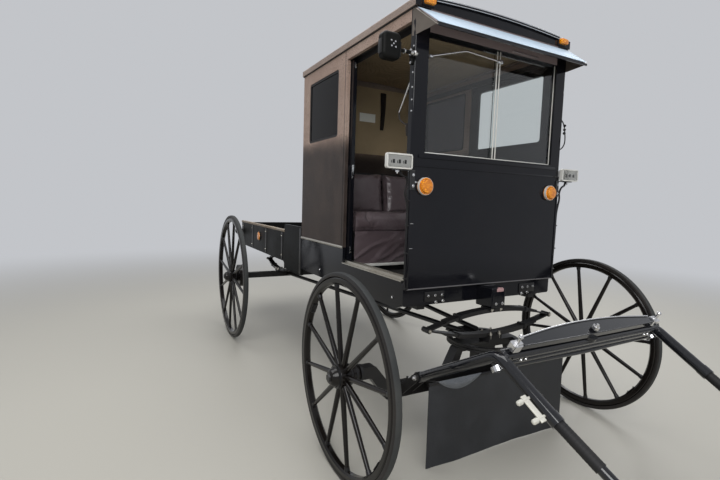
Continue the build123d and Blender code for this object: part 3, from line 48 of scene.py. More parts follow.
# The camera stands to the buggy's right of its shafts, at an adult's chest height. It looks
# back and across at the near front corner of the cab, with a wide lens, tilted a little.
CAMERA_PLACE = (-1.6662, -2.1732, 1.2249)
CAMERA_YAW, CAMERA_PITCH, CAMERA_ROLL = 28.57, 5.09, 1.78
FOCAL_PX, FRAME_WIDE_PX = 436.2, 720
camera = bpy.data.objects.new("camera", bpy.data.cameras.new("camera"))
scene.collection.objects.link(camera)
camera.data.lens = FOCAL_PX / FRAME_WIDE_PX * camera.data.sensor_width
camera.data.clip_start, camera.data.clip_end = 0.05, 60
turn = Matrix.Rotation(radians(-CAMERA_YAW), 4, "Z") @ Matrix.Rotation(radians(90 - CAMERA_PITCH), 4, "X")
camera.matrix_world = Matrix.Translation(CAMERA_PLACE) @ turn @ Matrix.Rotation(radians(CAMERA_ROLL), 4, "Z")
scene.camera = camera


def add(tree, kind, settings=None, **inputs):
    """Adds a shader node. A value given for one of its inputs is a number, a colour or a socket."""
    made = tree.nodes.new("ShaderNode" + kind)
    for key, value in (settings or {}).items():
        setattr(made, key, value)
    for key, value in inputs.items():
        number = key.removeprefix("at")
        socket = made.inputs[int(number) if number.isdigit() else key.replace("_", " ")]
        if isinstance(value, bpy.types.NodeSocket):
            tree.links.new(value, socket)
        else:
            socket.default_value = (*value, 1) if socket.type == "RGBA" else value
    return made


def math(tree, operation, first, second, clamp=False):
    """A sum, product or comparison of two values."""
    return add(tree, "Math", {"operation": operation, "use_clamp": clamp}, at0=first, at1=second).outputs[0]


def blended(tree, share, first, second, kind="MIX"):
    """A colour between two others, or their product."""
    return add(
        tree, "Mix", {"data_type": "RGBA", "blend_type": kind}, at0=share, at6=first, at7=second
    ).outputs[2]


def ranged(tree, value, **ends):
    """A value moved from one range to another. Each is 0 to 1 where it isn't given."""
    return add(tree, "MapRange", Value=value, **ends).outputs[0]


def object_place(tree):
    """Each point's place on the object's own coordinates."""
    return add(tree, "TexCoord").outputs["Object"]


def bumped(tree, height, distance, strength=0.6):
    """A surface direction, tipped by a height."""
    return add(tree, "Bump", Height=height, Distance=distance, Strength=strength).outputs[0]


def feed(tree, targets, **sockets):
    """Links sockets to the inputs that they are named after."""
    for key, value in sockets.items():
        tree.links.new(value, targets[key.replace("_", " ")])


def finish_of(name, colour, roughness, metallic=0.0, **sockets):
    """A new material: its node tree and its shader, with the values that are the same all over."""
    material = bpy.data.materials.new(name)
    material.use_nodes = True
    shader = material.node_tree.nodes["Principled BSDF"]
    shader.inputs["Base Color"].default_value = (*colour, 1)
    shader.inputs["Roughness"].default_value = roughness
    shader.inputs["Metallic"].default_value = metallic
    for key, value in sockets.items():
        shader.inputs[key.replace("_", " ")].default_value = value
    return material, material.node_tree, shader


def surfaced(tree, share, plain, other):
    """Shows one shader or another, by a share."""
    joined = add(tree, "MixShader", at0=share, at1=plain.outputs[0], at2=other.outputs[0])
    feed(tree, tree.nodes["Material Output"].inputs, Surface=joined.outputs[0])


# The studio: a pale floor that runs into a pale surround, which metal and glass also see, and
# four broad soft lamps: over the near front corner, from behind, overhead and low in front.
PALE = (0.80, 0.82, 0.86)
SURROUND_LIT, SURROUND_SEEN = 0.50, 0.68
FLOOR_COLOUR, FLOOR_WIDE_M = (0.41, 0.395, 0.35), 60
FLOOR_CLEAR_M, FLOOR_GONE_M = 3.2, 9.0
AIMED_AT = Vector((0, 0, 0.9))
LAMPS = (
    # name, place, watts, size
    ("key", (-3.9, -4.2, 4.4), 230, 3.4),
    ("fill", (4.4, 2.6, 4.6), 130, 3.4),
    ("overhead", (-0.6, 1.0, 5.4), 190, 4.4),
    ("front", (-1.0, -5.6, 1.9), 75, 2.8),
)
for lamp_name, place, watts, size in LAMPS:
    lamp = bpy.data.objects.new(lamp_name, bpy.data.lights.new(lamp_name, "AREA"))
    scene.collection.objects.link(lamp)
    lamp.data.energy, lamp.data.size = watts, size
    lamp.location = place
    lamp.visible_transmission = False
    lamp.visible_glossy = lamp_name != "front"
    lamp.rotation_euler = (AIMED_AT - lamp.location).to_track_quat("-Z", "Y").to_euler()


def seen_directly(tree):
    """1 where a surface is seen by the camera, in a reflection or through glass, else 0."""
    ray = add(tree, "LightPath").outputs
    plain = math(tree, "ADD", ray["Is Camera Ray"], ray["Is Transmission Ray"], True)
    return math(tree, "ADD", plain, ray["Is Glossy Ray"], True)


world = bpy.data.worlds.new("surround")
scene.world = world
world.use_nodes = True
tree = world.node_tree
background = tree.nodes["Background"].inputs
feed(
    tree, background, Strength=ranged(tree, seen_directly(tree), To_Min=SURROUND_LIT, To_Max=SURROUND_SEEN)
)
background["Color"].default_value = (*PALE, 1)
bpy.ops.mesh.primitive_plane_add(size=FLOOR_WIDE_M)
floor = bpy.context.object
floor.name = "studio_floor"
floor_paint, tree, shader = finish_of("studio_floor", FLOOR_COLOUR, 0.5)
far = add(tree, "VectorMath", {"operation": "LENGTH"}, at0=object_place(tree)).outputs["Value"]
smoothly = {"interpolation_type": "SMOOTHSTEP"}
faded = add(tree, "MapRange", smoothly, Value=far, From_Min=FLOOR_CLEAR_M, From_Max=FLOOR_GONE_M).outputs[0]
glow = add(tree, "Emission", Color=PALE, Strength=SURROUND_SEEN)
surfaced(tree, math(tree, "MULTIPLY", faded, seen_directly(tree)), shader, glow)
floor.data.materials.append(floor_paint)


def new_group(name, inputs, outputs):
    """A shader node group with named number inputs and outputs, and its points' places."""
    group = bpy.data.node_groups.new(name, "ShaderNodeTree")
    for key, value in inputs.items():
        socket = group.interface.new_socket(key, in_out="INPUT", socket_type="NodeSocketFloat")
        socket.default_value = value
    for key in outputs:
        group.interface.new_socket(key, in_out="OUTPUT", socket_type="NodeSocketFloat")
    ends = group.nodes.new("NodeGroupInput").outputs, group.nodes.new("NodeGroupOutput").inputs
    return group, *ends, object_place(group)


def group_of(tree, group, **inputs):
    """The outputs of a group that is used in a material."""
    return add(tree, "Group", {"node_tree": group}, **inputs).outputs


# Wear that every hard surface shares: cloudy dust, fine orange peel and long faint scratches
wear_group, wear_in, wear_out, at = new_group(
    "wear", {"Cloud size": 3.0, "Peel size": 300.0}, ("Dust", "Peel", "Scratch")
)
cloud = add(wear_group, "TexNoise", Vector=at, Scale=wear_in["Cloud size"], Detail=6.0, Roughness=0.62)
peel = add(wear_group, "TexNoise", Vector=at, Scale=wear_in["Peel size"], Detail=2.0)
stretch = add(wear_group, "Mapping", Vector=at, Rotation=(0.3, 0.2, 0.1), Scale=(9, 5, 150))
streak = add(wear_group, "TexNoise", Vector=stretch.outputs[0], Scale=1.0, Detail=3.0)
feed(
    wear_group,
    wear_out,
    Dust=ranged(wear_group, cloud.outputs[0], From_Min=0.42, From_Max=0.72),
    Peel=peel.outputs[0],
    Scratch=ranged(wear_group, streak.outputs[0], From_Min=0.64, From_Max=0.70),
)


def hard_finish(name, colour, dusty, roughness, metallic=0.0, share=0.25, peel_depth=0.00005, **sockets):
    """Paint, bare metal, plastic or rubber: one colour, dusted and scratched, with a fine orange peel."""
    material, tree, shader = finish_of(name, colour, roughness, metallic, **sockets)
    wear = group_of(tree, wear_group)
    worn = math(tree, "ADD", wear["Scratch"], wear["Dust"], True)
    feed(
        tree,
        shader.inputs,
        Base_Color=blended(tree, math(tree, "MULTIPLY", wear["Dust"], share), colour, dusty),
        Roughness=ranged(tree, worn, To_Min=roughness, To_Max=min(roughness + 0.14, 1)),
        Normal=bumped(tree, wear["Peel"], peel_depth),
    )
    return material


ENAMEL_TONE, ENAMEL_DUSTY = (0.0045, 0.0048, 0.0070), (0.016, 0.014, 0.014)
PLASTIC_TONE, PLASTIC_DUSTY = (0.58, 0.58, 0.55), (0.40, 0.36, 0.30)
black_gloss = hard_finish(
    "black_gloss", ENAMEL_TONE, ENAMEL_DUSTY, 0.07, share=0.22, Specular_IOR_Level=0.27
)
bar_enamel = hard_finish(
    "bar_enamel", (0.005, 0.0055, 0.0075), (0.014, 0.013, 0.013), 0.14, peel_depth=0.0010,
    Specular_IOR_Level=0.08, Coat_Weight=1.0, Coat_Roughness=0.05, Coat_IOR=1.5,
)
black_satin = hard_finish(
    "black_satin", (0.007, 0.007, 0.008), (0.030, 0.027, 0.023), 0.30, share=0.35, Specular_IOR_Level=0.35
)
dull_enamel = hard_finish(
    "dull_enamel", (0.005, 0.0055, 0.0055), (0.018, 0.016, 0.014), 0.42, share=0.35, Specular_IOR_Level=0.08
)
wheel_paint = hard_finish(
    "wheel_paint", (0.0055, 0.0045, 0.004), (0.020, 0.014, 0.011), 0.13, share=0.28, Specular_IOR_Level=0.27
)
worn_tread = hard_finish(
    "worn_tread", (0.028, 0.030, 0.030), (0.060, 0.060, 0.057), 0.70, share=0.7, peel_depth=0.0006,
    Specular_IOR_Level=0.25,
)
tyre_side = hard_finish(
    "tyre_side", (0.010, 0.009, 0.009), (0.040, 0.033, 0.027), 0.45, share=0.45, Specular_IOR_Level=0.35
)
black_rubber = hard_finish(
    "black_rubber", (0.008, 0.008, 0.009), (0.030, 0.027, 0.025), 0.5, share=0.4, Specular_IOR_Level=0.3
)
bright_metal = hard_finish("bright_metal", (0.72, 0.72, 0.73), (0.40, 0.38, 0.36), 0.18, 1.0, 0.35)
aluminium = hard_finish("aluminium", (0.55, 0.53, 0.48), (0.30, 0.26, 0.21), 0.34, 1.0, 0.5)
pale_plastic = hard_finish("pale_plastic", PLASTIC_TONE, PLASTIC_DUSTY, 0.30, share=0.5)
cream_plate = hard_finish("cream_plate", (0.58, 0.57, 0.51), (0.34, 0.31, 0.26), 0.36, 0.25, 0.5)


def dress(material, *nodes):
    """Gives frame nodes a finish in place of their plain one."""
    for node in nodes:
        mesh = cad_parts[node].data
        mesh.materials.clear()
        mesh.materials.append(material)


def placed(made, body):
    """Puts an object in the scene, riding on a body."""
    scene.collection.objects.link(made)
    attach(made, body)
    return made


def piece(name, shape, *finishes, body="body", slot=None):
    """Turns a finished bmesh into an object that rides on a body."""
    bmesh.ops.recalc_face_normals(shape, faces=shape.faces)
    mesh = bpy.data.meshes.new(name)
    shape.to_mesh(mesh)
    shape.free()
    for finish in finishes:
        mesh.materials.append(finish)
    mesh.shade_smooth()
    mesh.set_sharp_from_angle(angle=radians(38))
    return placed(bpy.data.objects.new(name, mesh), body)


def block(shape, centre, size, edge=0.0015, turned=None):
    """Adds a rectangular block with rounded edges to a bmesh."""
    place = Matrix.LocRotScale(Vector(centre), turned, Vector(size))
    corners = bmesh.ops.create_cube(shape, size=1, matrix=place)["verts"]
    edges = list(dict.fromkeys(line for corner in corners for line in corner.link_edges))
    bmesh.ops.bevel(shape, geom=edges, offset=edge, affect="EDGES", segments=2, profile=0.5, material=-1)


def rod(shape, start, end, radius, tip=None, sides=14):
    """Adds a round or six-sided bar from one point to another. A tip radius tapers it."""
    run = Vector(end) - Vector(start)
    place = Matrix.LocRotScale((Vector(start) + Vector(end)) / 2, run.to_track_quat("Z", "Y"), None)
    tip = radius if tip is None else tip
    bmesh.ops.create_cone(
        shape, cap_ends=True, segments=sides, radius1=radius, radius2=tip, depth=run.length, matrix=place
    )


def bolt(shape, foot, way, radius, high=0.006):
    """Adds a six-sided nut and the rounded end of its bolt, standing on a surface."""
    foot, way = Vector(foot), Vector(way).normalized()
    rod(shape, foot - way * 0.002, foot + way * high, radius, sides=6)
    rod(shape, foot + way * high, foot + way * high * 1.9, radius * 0.55, radius * 0.4, sides=10)


def spun(shape, outline, centre, way, steps=64, closed=True):
    """Adds a turned form: an outline of distances along an axis and radii from it, spun right round."""
    centre, way = Vector(centre), Vector(way).normalized()
    out = way.orthogonal().normalized()
    dots = [shape.verts.new(centre + way * along + out * radius) for along, radius in outline]
    pairs = zip(dots, dots[1:] + dots[:1] if closed else dots[1:])
    lines = [shape.edges.new(pair) for pair in pairs]
    bmesh.ops.spin(
        shape, geom=dots + lines, cent=centre, axis=way, angle=2 * pi, steps=steps,
        use_merge=True, use_duplicate=False,
    )


def screw(shape, foot, way, head, steps=12):
    """Adds a domed screw head: its height, its shoulder's height and radius, and its rim's radius."""
    high, shoulder, inner, rim = head
    spun(shape, ((0, 0.0), (high, 0.0), (shoulder, inner), (0, rim)), foot, way, steps)


def bent(name, points, radius, finish, body="body"):
    """A rod, wire, bead or welt: a round section along one smooth line between its fixings."""
    line = bpy.data.curves.new(name, "CURVE")
    line.dimensions = "3D"
    line.bevel_depth, line.bevel_resolution, line.resolution_u = radius, 2, 8
    line.use_fill_caps = True
    spline = line.splines.new("NURBS")
    spline.points.add(len(points) - 1)
    for point, place in zip(spline.points, points):
        point.co = (*place, 1)
    spline.order_u = 3
    spline.use_endpoint_u = True
    line.materials.append(finish)
    return placed(bpy.data.objects.new(name, line), body)


def mirrored(side, place):
    """A place on the buggy's left, or its mirror image on the right."""
    return (side * place[0], place[1], place[2])


# Tyres: solid rubber strips set in the wheels' steel rims. The tread is worn pale grey by
# the road, and the sides stay dark under brown dust. Each is one spun ring.
TYRE_HALF, TYRE_DEEP, TREAD_DEEP = 0.016, 0.020, 0.0035
TYRE_OUTLINE = (
    # across from the middle, in from the tread
    (-0.0150, TYRE_DEEP), (-TYRE_HALF, 0.0160), (-TYRE_HALF, 0.0070), (-0.0135, 0.0026), (-0.0080, 0.0006),
    (0.0, 0.0),
    (0.0080, 0.0006), (0.0135, 0.0026), (TYRE_HALF, 0.0070), (TYRE_HALF, 0.0160), (0.0150, TYRE_DEEP),
)
CORNERS = ("front_right", "front_left", "rear_right", "rear_left")
wheel_middle, wheel_radius = {}, {}
for corner in CORNERS:
    low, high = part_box(f"tyre_{corner}")
    middle, radius = (low + high) / 2, (high.z - low.z) / 2
    wheel_middle[corner], wheel_radius[corner] = middle, radius
    shape = bmesh.new()
    spun(
        shape, [(across, radius - inward) for across, inward in TYRE_OUTLINE], middle, (1, 0, 0), steps=120
    )
    for face in shape.faces:
        spoke = face.calc_center_median() - middle
        face.material_index = int((spoke.y**2 + spoke.z**2) ** 0.5 > radius - TREAD_DEEP)
    tyre = piece(f"rubber_tyre_{corner}", shape, tyre_side, worn_tread, body=f"wheel_{corner}")
    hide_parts(f"tyre_{corner}")

# Wheels: twelve tapered wooden spokes between a turned hub and a bent rim, painted black.
# Iron bands, a nosed cap nut, rim plates at the joints and a collar on each spoke are bolted on.
HUB_BANDS = ((0.0285, 0.0495), (-0.0285, 0.0495), (-0.060, 0.0405))  # outward from the spokes, radius
BAND_HALF, BAND_DEEP, NOSE = 0.005, 0.008, 0.062
SPOKES, FELLOE_INSIDE = 12, 0.054
HALF_GAP = radians(180 / SPOKES)
FIRST_SPOKE = {"front_right": 19, "front_left": 22, "rear_right": 9, "rear_left": 4}
dress(wheel_paint, *[f"wheel_{corner}" for corner in CORNERS])
for corner in CORNERS:
    middle, wheel = wheel_middle[corner], f"wheel_{corner}"
    outward = Vector((1 if middle.x > 0 else -1, 0, 0))
    inside = wheel_radius[corner] - FELLOE_INSIDE
    shape, bright = bmesh.new(), bmesh.new()
    for reach, radius in HUB_BANDS:
        ends, low = (reach - BAND_HALF, reach + BAND_HALF), radius - BAND_DEEP
        spun(
            shape,
            ((ends[0], low), (ends[0], radius), (ends[1], radius), (ends[1], low)),
            middle,
            outward,
            steps=40,
        )
    rod(shape, middle + outward * NOSE, middle + outward * (NOSE + 0.007), 0.021, 0.018, sides=6)
    for index in range(SPOKES):
        angle = radians(FIRST_SPOKE[corner] + index * 360 / SPOKES)
        way = Vector((0, cos(angle), sin(angle)))
        between = Matrix.Rotation(HALF_GAP, 3, "X") @ way
        rod(shape, middle + way * (inside - 0.016), middle + way * (inside + 0.002), 0.0112, 0.0130)
        if index % 2 == 0:
            bolt(bright, middle + between * 0.044 + outward * 0.0225, outward, 0.0048, 0.004)
        if index % 6 == 0:
            flat = Matrix.Rotation(angle + HALF_GAP, 3, "X").to_quaternion()
            block(shape, middle + between * (inside - 0.0015), (0.030, 0.003, 0.064), 0.001, flat)
            along = Matrix.Rotation(pi / 2, 3, "X") @ between
            for step in (-0.022, 0.022):
                bolt(shape, middle + between * (inside - 0.002) + along * step, -between, 0.0062, 0.004)
    piece(f"wheel_irons_{corner}", shape, black_satin, body=wheel)
    piece(f"hub_bolts_{corner}", bright, aluminium, body=wheel)

# Chassis beams, axles and reach poles: welded black bar and tube under the body. Bolts with
# bright nuts hold the couplings, and clips hold the axles to their springs.
COUPLING, AXLE_CLIP_IN = (0.490, -0.630, 0.440), 0.075
FIFTH_WHEEL_Y, FIFTH_BOLTS_OUT = -0.510, 0.150 * 1.15
dress(
    black_satin, "chassis_beams", "rear_axle", "front_axle", "reach_poles", "apron_hanger",
    "fifth_wheel_upper", "fifth_wheel_lower",
)
shape, bright = bmesh.new(), bmesh.new()
for side in BOTH:
    x, y, z = mirrored(side, COUPLING)
    for face in BOTH:
        bolt(bright, (x + face * 0.0315, y, z), (face, 0, 0), 0.0125, 0.009)
    for high in (0.3775, 0.3975):
        bolt(bright, (x - side * 0.004, -0.538, high), BACK, 0.008, 0.006)
    clip_x = x - side * AXLE_CLIP_IN
    block(shape, (clip_x, -0.510, 0.352), (0.040, 0.062, 0.062), 0.004)
    for leg in (clip_x - 0.014, clip_x + 0.014):
        rod(bright, (leg, -0.545, 0.376), (leg, -0.545, 0.402), 0.0045)
        bolt(bright, (leg, -0.545, 0.396), UP, 0.0085, 0.007)
piece("axle_clips", shape, black_satin, body="front_gear")
piece("coupling_bolts", bright, bright_metal, body="front_gear")
shape = bmesh.new()
for quarter in range(4):
    angle = radians(45 + 90 * quarter)
    across, back = FIFTH_BOLTS_OUT * cos(angle), FIFTH_BOLTS_OUT * sin(angle)
    bolt(shape, (across, FIFTH_WHEEL_Y + back, 0.5005), DOWN, 0.008, 0.006)
bolt(shape, (0, FIFTH_WHEEL_Y, 0.4665), DOWN, 0.017, 0.012)
piece("fifth_wheel_bolts", shape, black_satin, body="front_gear")

# Springs: stacks of thin steel leaves bowed against each other, an ellipse across the front
# and one along each side at the rear, with rebound clips, eye bolts, U-bolts and clamp plates.
FRONT_SPRING = (-0.560, 0.628, 0.415, 0.056)  # along, eye height, reach to the eyes, sag
REAR_SPRING = (0.390, 1.710, 0.632, 0.330, 0.052)  # across, along, eye height, reach, sag
EYE_HALF, CLIP_SHARE, CLIP_LIFT, STUD_OUT = 0.0245, 0.55, 0.006, 0.030
dress(black_satin, "front_spring", "rear_springs")
shape, bright = bmesh.new(), bmesh.new()
spring_y, eye_z, eye_reach, sag = FRONT_SPRING
for side in BOTH:
    for face in BOTH:
        bolt(bright, (side * eye_reach, spring_y + face * EYE_HALF, eye_z), (0, face, 0), 0.0085, 0.005)
    for up in BOTH:
        clip = (
            side * eye_reach * CLIP_SHARE, spring_y, eye_z + up * (sag * (1 - CLIP_SHARE**2) + CLIP_LIFT)
        )
        tilt = Matrix.Rotation(-up * side * -0.145, 3, "Y").to_quaternion()
        block(shape, clip, (0.016, 0.054, 0.026), 0.002, tilt)
    for step in BOTH:
        stud = (side * STUD_OUT, spring_y + step * STUD_OUT)
        rod(bright, (*stud, 0.545), (*stud, 0.582), 0.005)
        bolt(bright, (*stud, 0.566), UP, 0.0095, 0.007)
        bolt(bright, (*stud, 0.700), DOWN, 0.0095, 0.007)
side_x, spring_mid, eye_z, eye_reach, sag = REAR_SPRING
for side in BOTH:
    for end in BOTH:
        eye_y, clip_y = spring_mid + end * eye_reach, spring_mid + end * eye_reach * CLIP_SHARE
        for face in BOTH:
            bolt(bright, (side * side_x + face * EYE_HALF, eye_y, eye_z), (face, 0, 0), 0.0085, 0.005)
        for up in BOTH:
            tilt = Matrix.Rotation(-up * end * 0.17, 3, "X").to_quaternion()
            clip = (side * side_x, clip_y, eye_z + up * (sag * 0.70 + CLIP_LIFT))
            block(shape, clip, (0.054, 0.016, 0.026), 0.002, tilt)
        for step in BOTH:
            stud = (side * side_x + step * 0.028, spring_mid + end * STUD_OUT, 0.577)
            bolt(bright, stud, UP, 0.0095, 0.007)
piece("spring_clips", shape, black_satin)
piece("spring_bolts", bright, aluminium)

# Body tub: a low wooden box with a plywood floor, painted gloss black. Its front boards step up
# to the dash and carry the spring block, which is bolted through with bright nuts.
IRON_X, IRON_BOLT_STEPS = 0.325, (-0.042, 0.0, 0.042)
dress(black_gloss, "body_tub")
shape, bright = bmesh.new(), bmesh.new()
for side in BOTH:
    block(shape, (side * IRON_X, -0.4925, 0.770), (0.120, 0.005, 0.050), 0.001)
    for step in IRON_BOLT_STEPS:
        bolt(bright, (side * IRON_X + step, -0.495, 0.776), BACK, 0.0075, 0.006)
    for step, low in ((-0.020, 0.742), (0.024, 0.745)):
        bolt(bright, (side * 0.300 + step, -0.4905, low), BACK, 0.0085, 0.010)
    for along in (-0.40, 0.10, 0.50):
        bolt(bright, (side * 0.510, along, 0.760), (side, 0, 0), 0.007, 0.003)
piece("front_corner_irons", shape, black_satin)
for step in (-0.022, 0.022):
    bolt(bright, (step, -0.602, 0.730), BACK, 0.0085, 0.006)
piece("tub_bolts", bright, bright_metal)
shape = bmesh.new()
block(shape, (0.006, -0.604, 0.7985), (0.046, 0.004, 0.016), 0.0015)
block(shape, (0.006, -0.600, 0.8085), (0.030, 0.012, 0.006), 0.001)
piece("block_clip", shape, hard_finish("faded_clip", (0.36, 0.22, 0.22), (0.2, 0.15, 0.14), 0.4))

# Dash: one tall plywood panel in gloss black, framed by a thin half-round bead, with a plain
# metal edge along its foot, staples on its near edge and a row of pins in each side bead. The
# windshield's frame above it has a grey-brown header between its black pillars: a painted
# reflection.
HEADER_LOW_Z, HEADER_HALF_X, HEADER_PAINTED_REFLECTION = 1.9965, 0.433, (0.26, 0.215, 0.22)
BEAD_Y, PIN_LOW_Z, PIN_GAP = -0.5118, 0.850, 0.065
EDGE_PIN = ((0, 0.0046), (0.0026, 0.0038), (0.0036, 0.0), (-0.001, 0.0), (-0.001, 0.0046))


def height_mask(tree, low, high):
    """0 below one height on the object, 1 above another."""
    place = add(tree, "SeparateXYZ", Vector=object_place(tree))
    return ranged(tree, place.outputs["Z"], From_Min=low, From_Max=high)


frame_enamel_and_painted_reflection, tree, shader = finish_of("frame_enamel_and_painted_reflection", ENAMEL_TONE, 0.10, Specular_IOR_Level=0.27)
wear = group_of(tree, wear_group)
across = math(tree, "ABSOLUTE", add(tree, "SeparateXYZ", Vector=object_place(tree)).outputs["X"], 0)
between = ranged(tree, across, From_Min=HEADER_HALF_X, From_Max=HEADER_HALF_X - 0.002)
# The header between the pillars is painted grey-brown over the black enamel: a painted reflection.
header = math(tree, "MULTIPLY", height_mask(tree, HEADER_LOW_Z, HEADER_LOW_Z + 0.001), between)
black = blended(tree, math(tree, "MULTIPLY", wear["Dust"], 0.22), ENAMEL_TONE, ENAMEL_DUSTY)
feed(
    tree,
    shader.inputs,
    Base_Color=blended(tree, header, black, HEADER_PAINTED_REFLECTION),
    Roughness=ranged(tree, wear["Scratch"], To_Min=0.08, To_Max=0.20),
    Normal=bumped(tree, wear["Peel"], 0.00005),
)
dress(black_gloss, "dash_panel")
dress(frame_enamel_and_painted_reflection, "windshield_frame")
shape = bmesh.new()
for side in BOTH:
    block(shape, (side * 0.5040, BEAD_Y, 1.107), (0.011, 0.0036, 0.582), 0.0016)
block(shape, (0, BEAD_Y, 1.3955), (1.000, 0.0036, 0.009), 0.0016)
block(shape, (0, -0.5125, 1.4400), (0.940, 0.005, 0.016), 0.002)
piece("dash_beads", shape, black_gloss)
shape = bmesh.new()
block(shape, (0, -0.5112, 0.8175), (1.012, 0.0030, 0.0060), 0.001)
piece(
    "dash_foot_edge", shape, hard_finish("foot_metal", (0.16, 0.155, 0.16), (0.10, 0.09, 0.08), 0.40, 0.6)
)
shape = bmesh.new()
for high in (1.128, 1.012):
    rod(shape, (-0.503, -0.5142, high), (-0.485, -0.5142, high), 0.0016)
for side in BOTH:
    for index in range(9):
        bolt(shape, (side * 0.5105, -0.500, PIN_LOW_Z + index * PIN_GAP), (side, 0, 0), 0.0028, 0.0014)
for high in (1.925, 1.870, 1.810, 1.745, 1.690, 1.640):
    spun(shape, EDGE_PIN, (-0.510, -0.4995, high), (-1, 0, 0), steps=16)
piece("dash_pins", shape, bright_metal)

# Windshield: two panes of glass that lap at the middle in pale edge channels, so that they can
# slide, under a bent rod that was once the wiper's linkage. The frame is rabbeted for them.
PANE_MID_Z, PANE_HIGH, CHANNEL_THICK = 1.7260, 0.536, 0.0030
SHADOW_TINT = (0.86, 0.89, 0.88)
LINKAGE_Y = -0.503
LINKAGE = (
    # across, height: along the bent rod, from the near frame to the lap of the panes
    (-0.414, 1.897), (-0.300, 1.930), (-0.222, 1.953), (-0.205, 1.956), (-0.185, 1.955), (-0.080, 1.950),
    (0.009, 1.945),
)


def glass(name, colour, patch_size, patches, rough, **sockets):
    """Glass that is hazed a little in patches, where its smears are."""
    material, tree, shader = finish_of(name, colour, rough[0], **sockets)
    smear = add(tree, "TexNoise", Scale=patch_size, Detail=5.0, Vector=object_place(tree)).outputs[0]
    ends = {"From_Min": patches[0], "From_Max": patches[1], "To_Min": rough[0], "To_Max": rough[1]}
    feed(tree, shader.inputs, Roughness=ranged(tree, smear, **ends))
    return material, tree, shader


clear_glass, tree, shader = glass(
    "clear_glass", (0.90, 0.93, 0.92), 7.0, (0.45, 0.75), (0.004, 0.02), Transmission_Weight=1.0, IOR=1.45
)
passing = add(tree, "BsdfTransparent", Color=SHADOW_TINT)
surfaced(tree, add(tree, "LightPath").outputs["Is Shadow Ray"], shader, passing)
dark_glass = glass(
    "dark_glass", (0.030, 0.027, 0.029), 5.0, (0.40, 0.75), (0.01, 0.03), Transmission_Weight=0.85, IOR=1.16
)[0]
dress(clear_glass, "windshield_panes", "door_glass_right", "door_glass_left")
dress(dark_glass, "quarter_glass")
dress(black_rubber, "quarter_gaskets")
shape = bmesh.new()
for across in (0.0025, 0.0215):
    block(shape, (across, -0.4965, PANE_MID_Z), (0.0065, 0.0028, PANE_HIGH), 0.0008)
block(shape, (0, -0.4972, 1.4605), (0.862, CHANNEL_THICK, 0.0050), 0.0008)
for side in BOTH:
    block(shape, (side * 0.4305, -0.4972, PANE_MID_Z), (0.0050, CHANNEL_THICK, PANE_HIGH), 0.0008)
piece("pane_channels", shape, pale_plastic)
bent("windshield_linkage", [(across, LINKAGE_Y, high) for across, high in LINKAGE], 0.0042, bright_metal)
shape = bmesh.new()
block(shape, (0.014, -0.506, 1.944), (0.030, 0.014, 0.018), 0.003)
bolt(shape, (0.014, -0.512, 1.944), BACK, 0.007, 0.005)
block(shape, (-0.418, -0.5055, 1.895), (0.018, 0.012, 0.014), 0.003)
block(shape, (0.180, -0.5130, 2.0080), (0.190, 0.005, 0.007), 0.001)
piece("linkage_ends", shape, bright_metal)

# Vinyl: a woven-backed cloth with a pressed grain, tan-brown round the windows and along the
# eaves, and a darker grey-brown on the lower panels, both in cloudy dusty patches.
grain_group, grain_in, grain_out, at = new_group("grain", {"Grain size": 260.0}, ("Height", "Crease"))
shifted = add(grain_group, "TexNoise", Vector=at, Scale=grain_in["Grain size"], Detail=2.0).outputs[0]
to_edge = {"feature": "DISTANCE_TO_EDGE"}
pebble = add(
    grain_group, "TexVoronoi", to_edge, Vector=at, Scale=grain_in["Grain size"]
).outputs["Distance"]
crease = ranged(grain_group, pebble, From_Min=0.0, From_Max=0.12)
feed(grain_group, grain_out, Height=math(grain_group, "MULTIPLY", crease, shifted), Crease=crease)
EDGE_UNEVEN, EDGE_BELOW, EDGE_ABOVE, EDGE_POWER = 0.009, 0.095, 0.030, 2.4


def grained_finish(name, colour, patch, roughness, grain_size, grain_depth, above=None, **sockets):
    """Vinyl or leathercloth: a pressed grain with painted shade in its creases, cloudy patches, and another
    colour above a height.
    """
    material, tree, shader = finish_of(name, colour, roughness, **sockets)
    grain = group_of(tree, grain_group, Grain_size=grain_size)
    dust = group_of(tree, wear_group, Cloud_size=5.0)["Dust"]
    base = blended(tree, dust, colour, patch)
    if above:
        height, upper, upper_patch = above
        place = add(tree, "SeparateXYZ", Vector=object_place(tree))
        uneven = ranged(tree, dust, To_Min=-EDGE_UNEVEN, To_Max=EDGE_UNEVEN)
        edge = math(tree, "ADD", place.outputs["Z"], uneven)
        over = ranged(tree, edge, From_Min=height - EDGE_BELOW, From_Max=height + EDGE_ABOVE)
        base = blended(
            tree, math(tree, "POWER", over, EDGE_POWER), base, blended(tree, dust, upper, upper_patch)
        )
    # Painted shade: the colour is darkened in the grain's creases.
    dark = ranged(tree, grain["Crease"], To_Min=0.42, To_Max=1.0)
    feed(
        tree,
        shader.inputs,
        Base_Color=blended(tree, 1.0, base, dark, "MULTIPLY"),
        Roughness=ranged(tree, dust, To_Min=roughness, To_Max=roughness + 0.15),
        Normal=bumped(tree, grain["Height"], grain_depth, 0.8),
    )
    return material


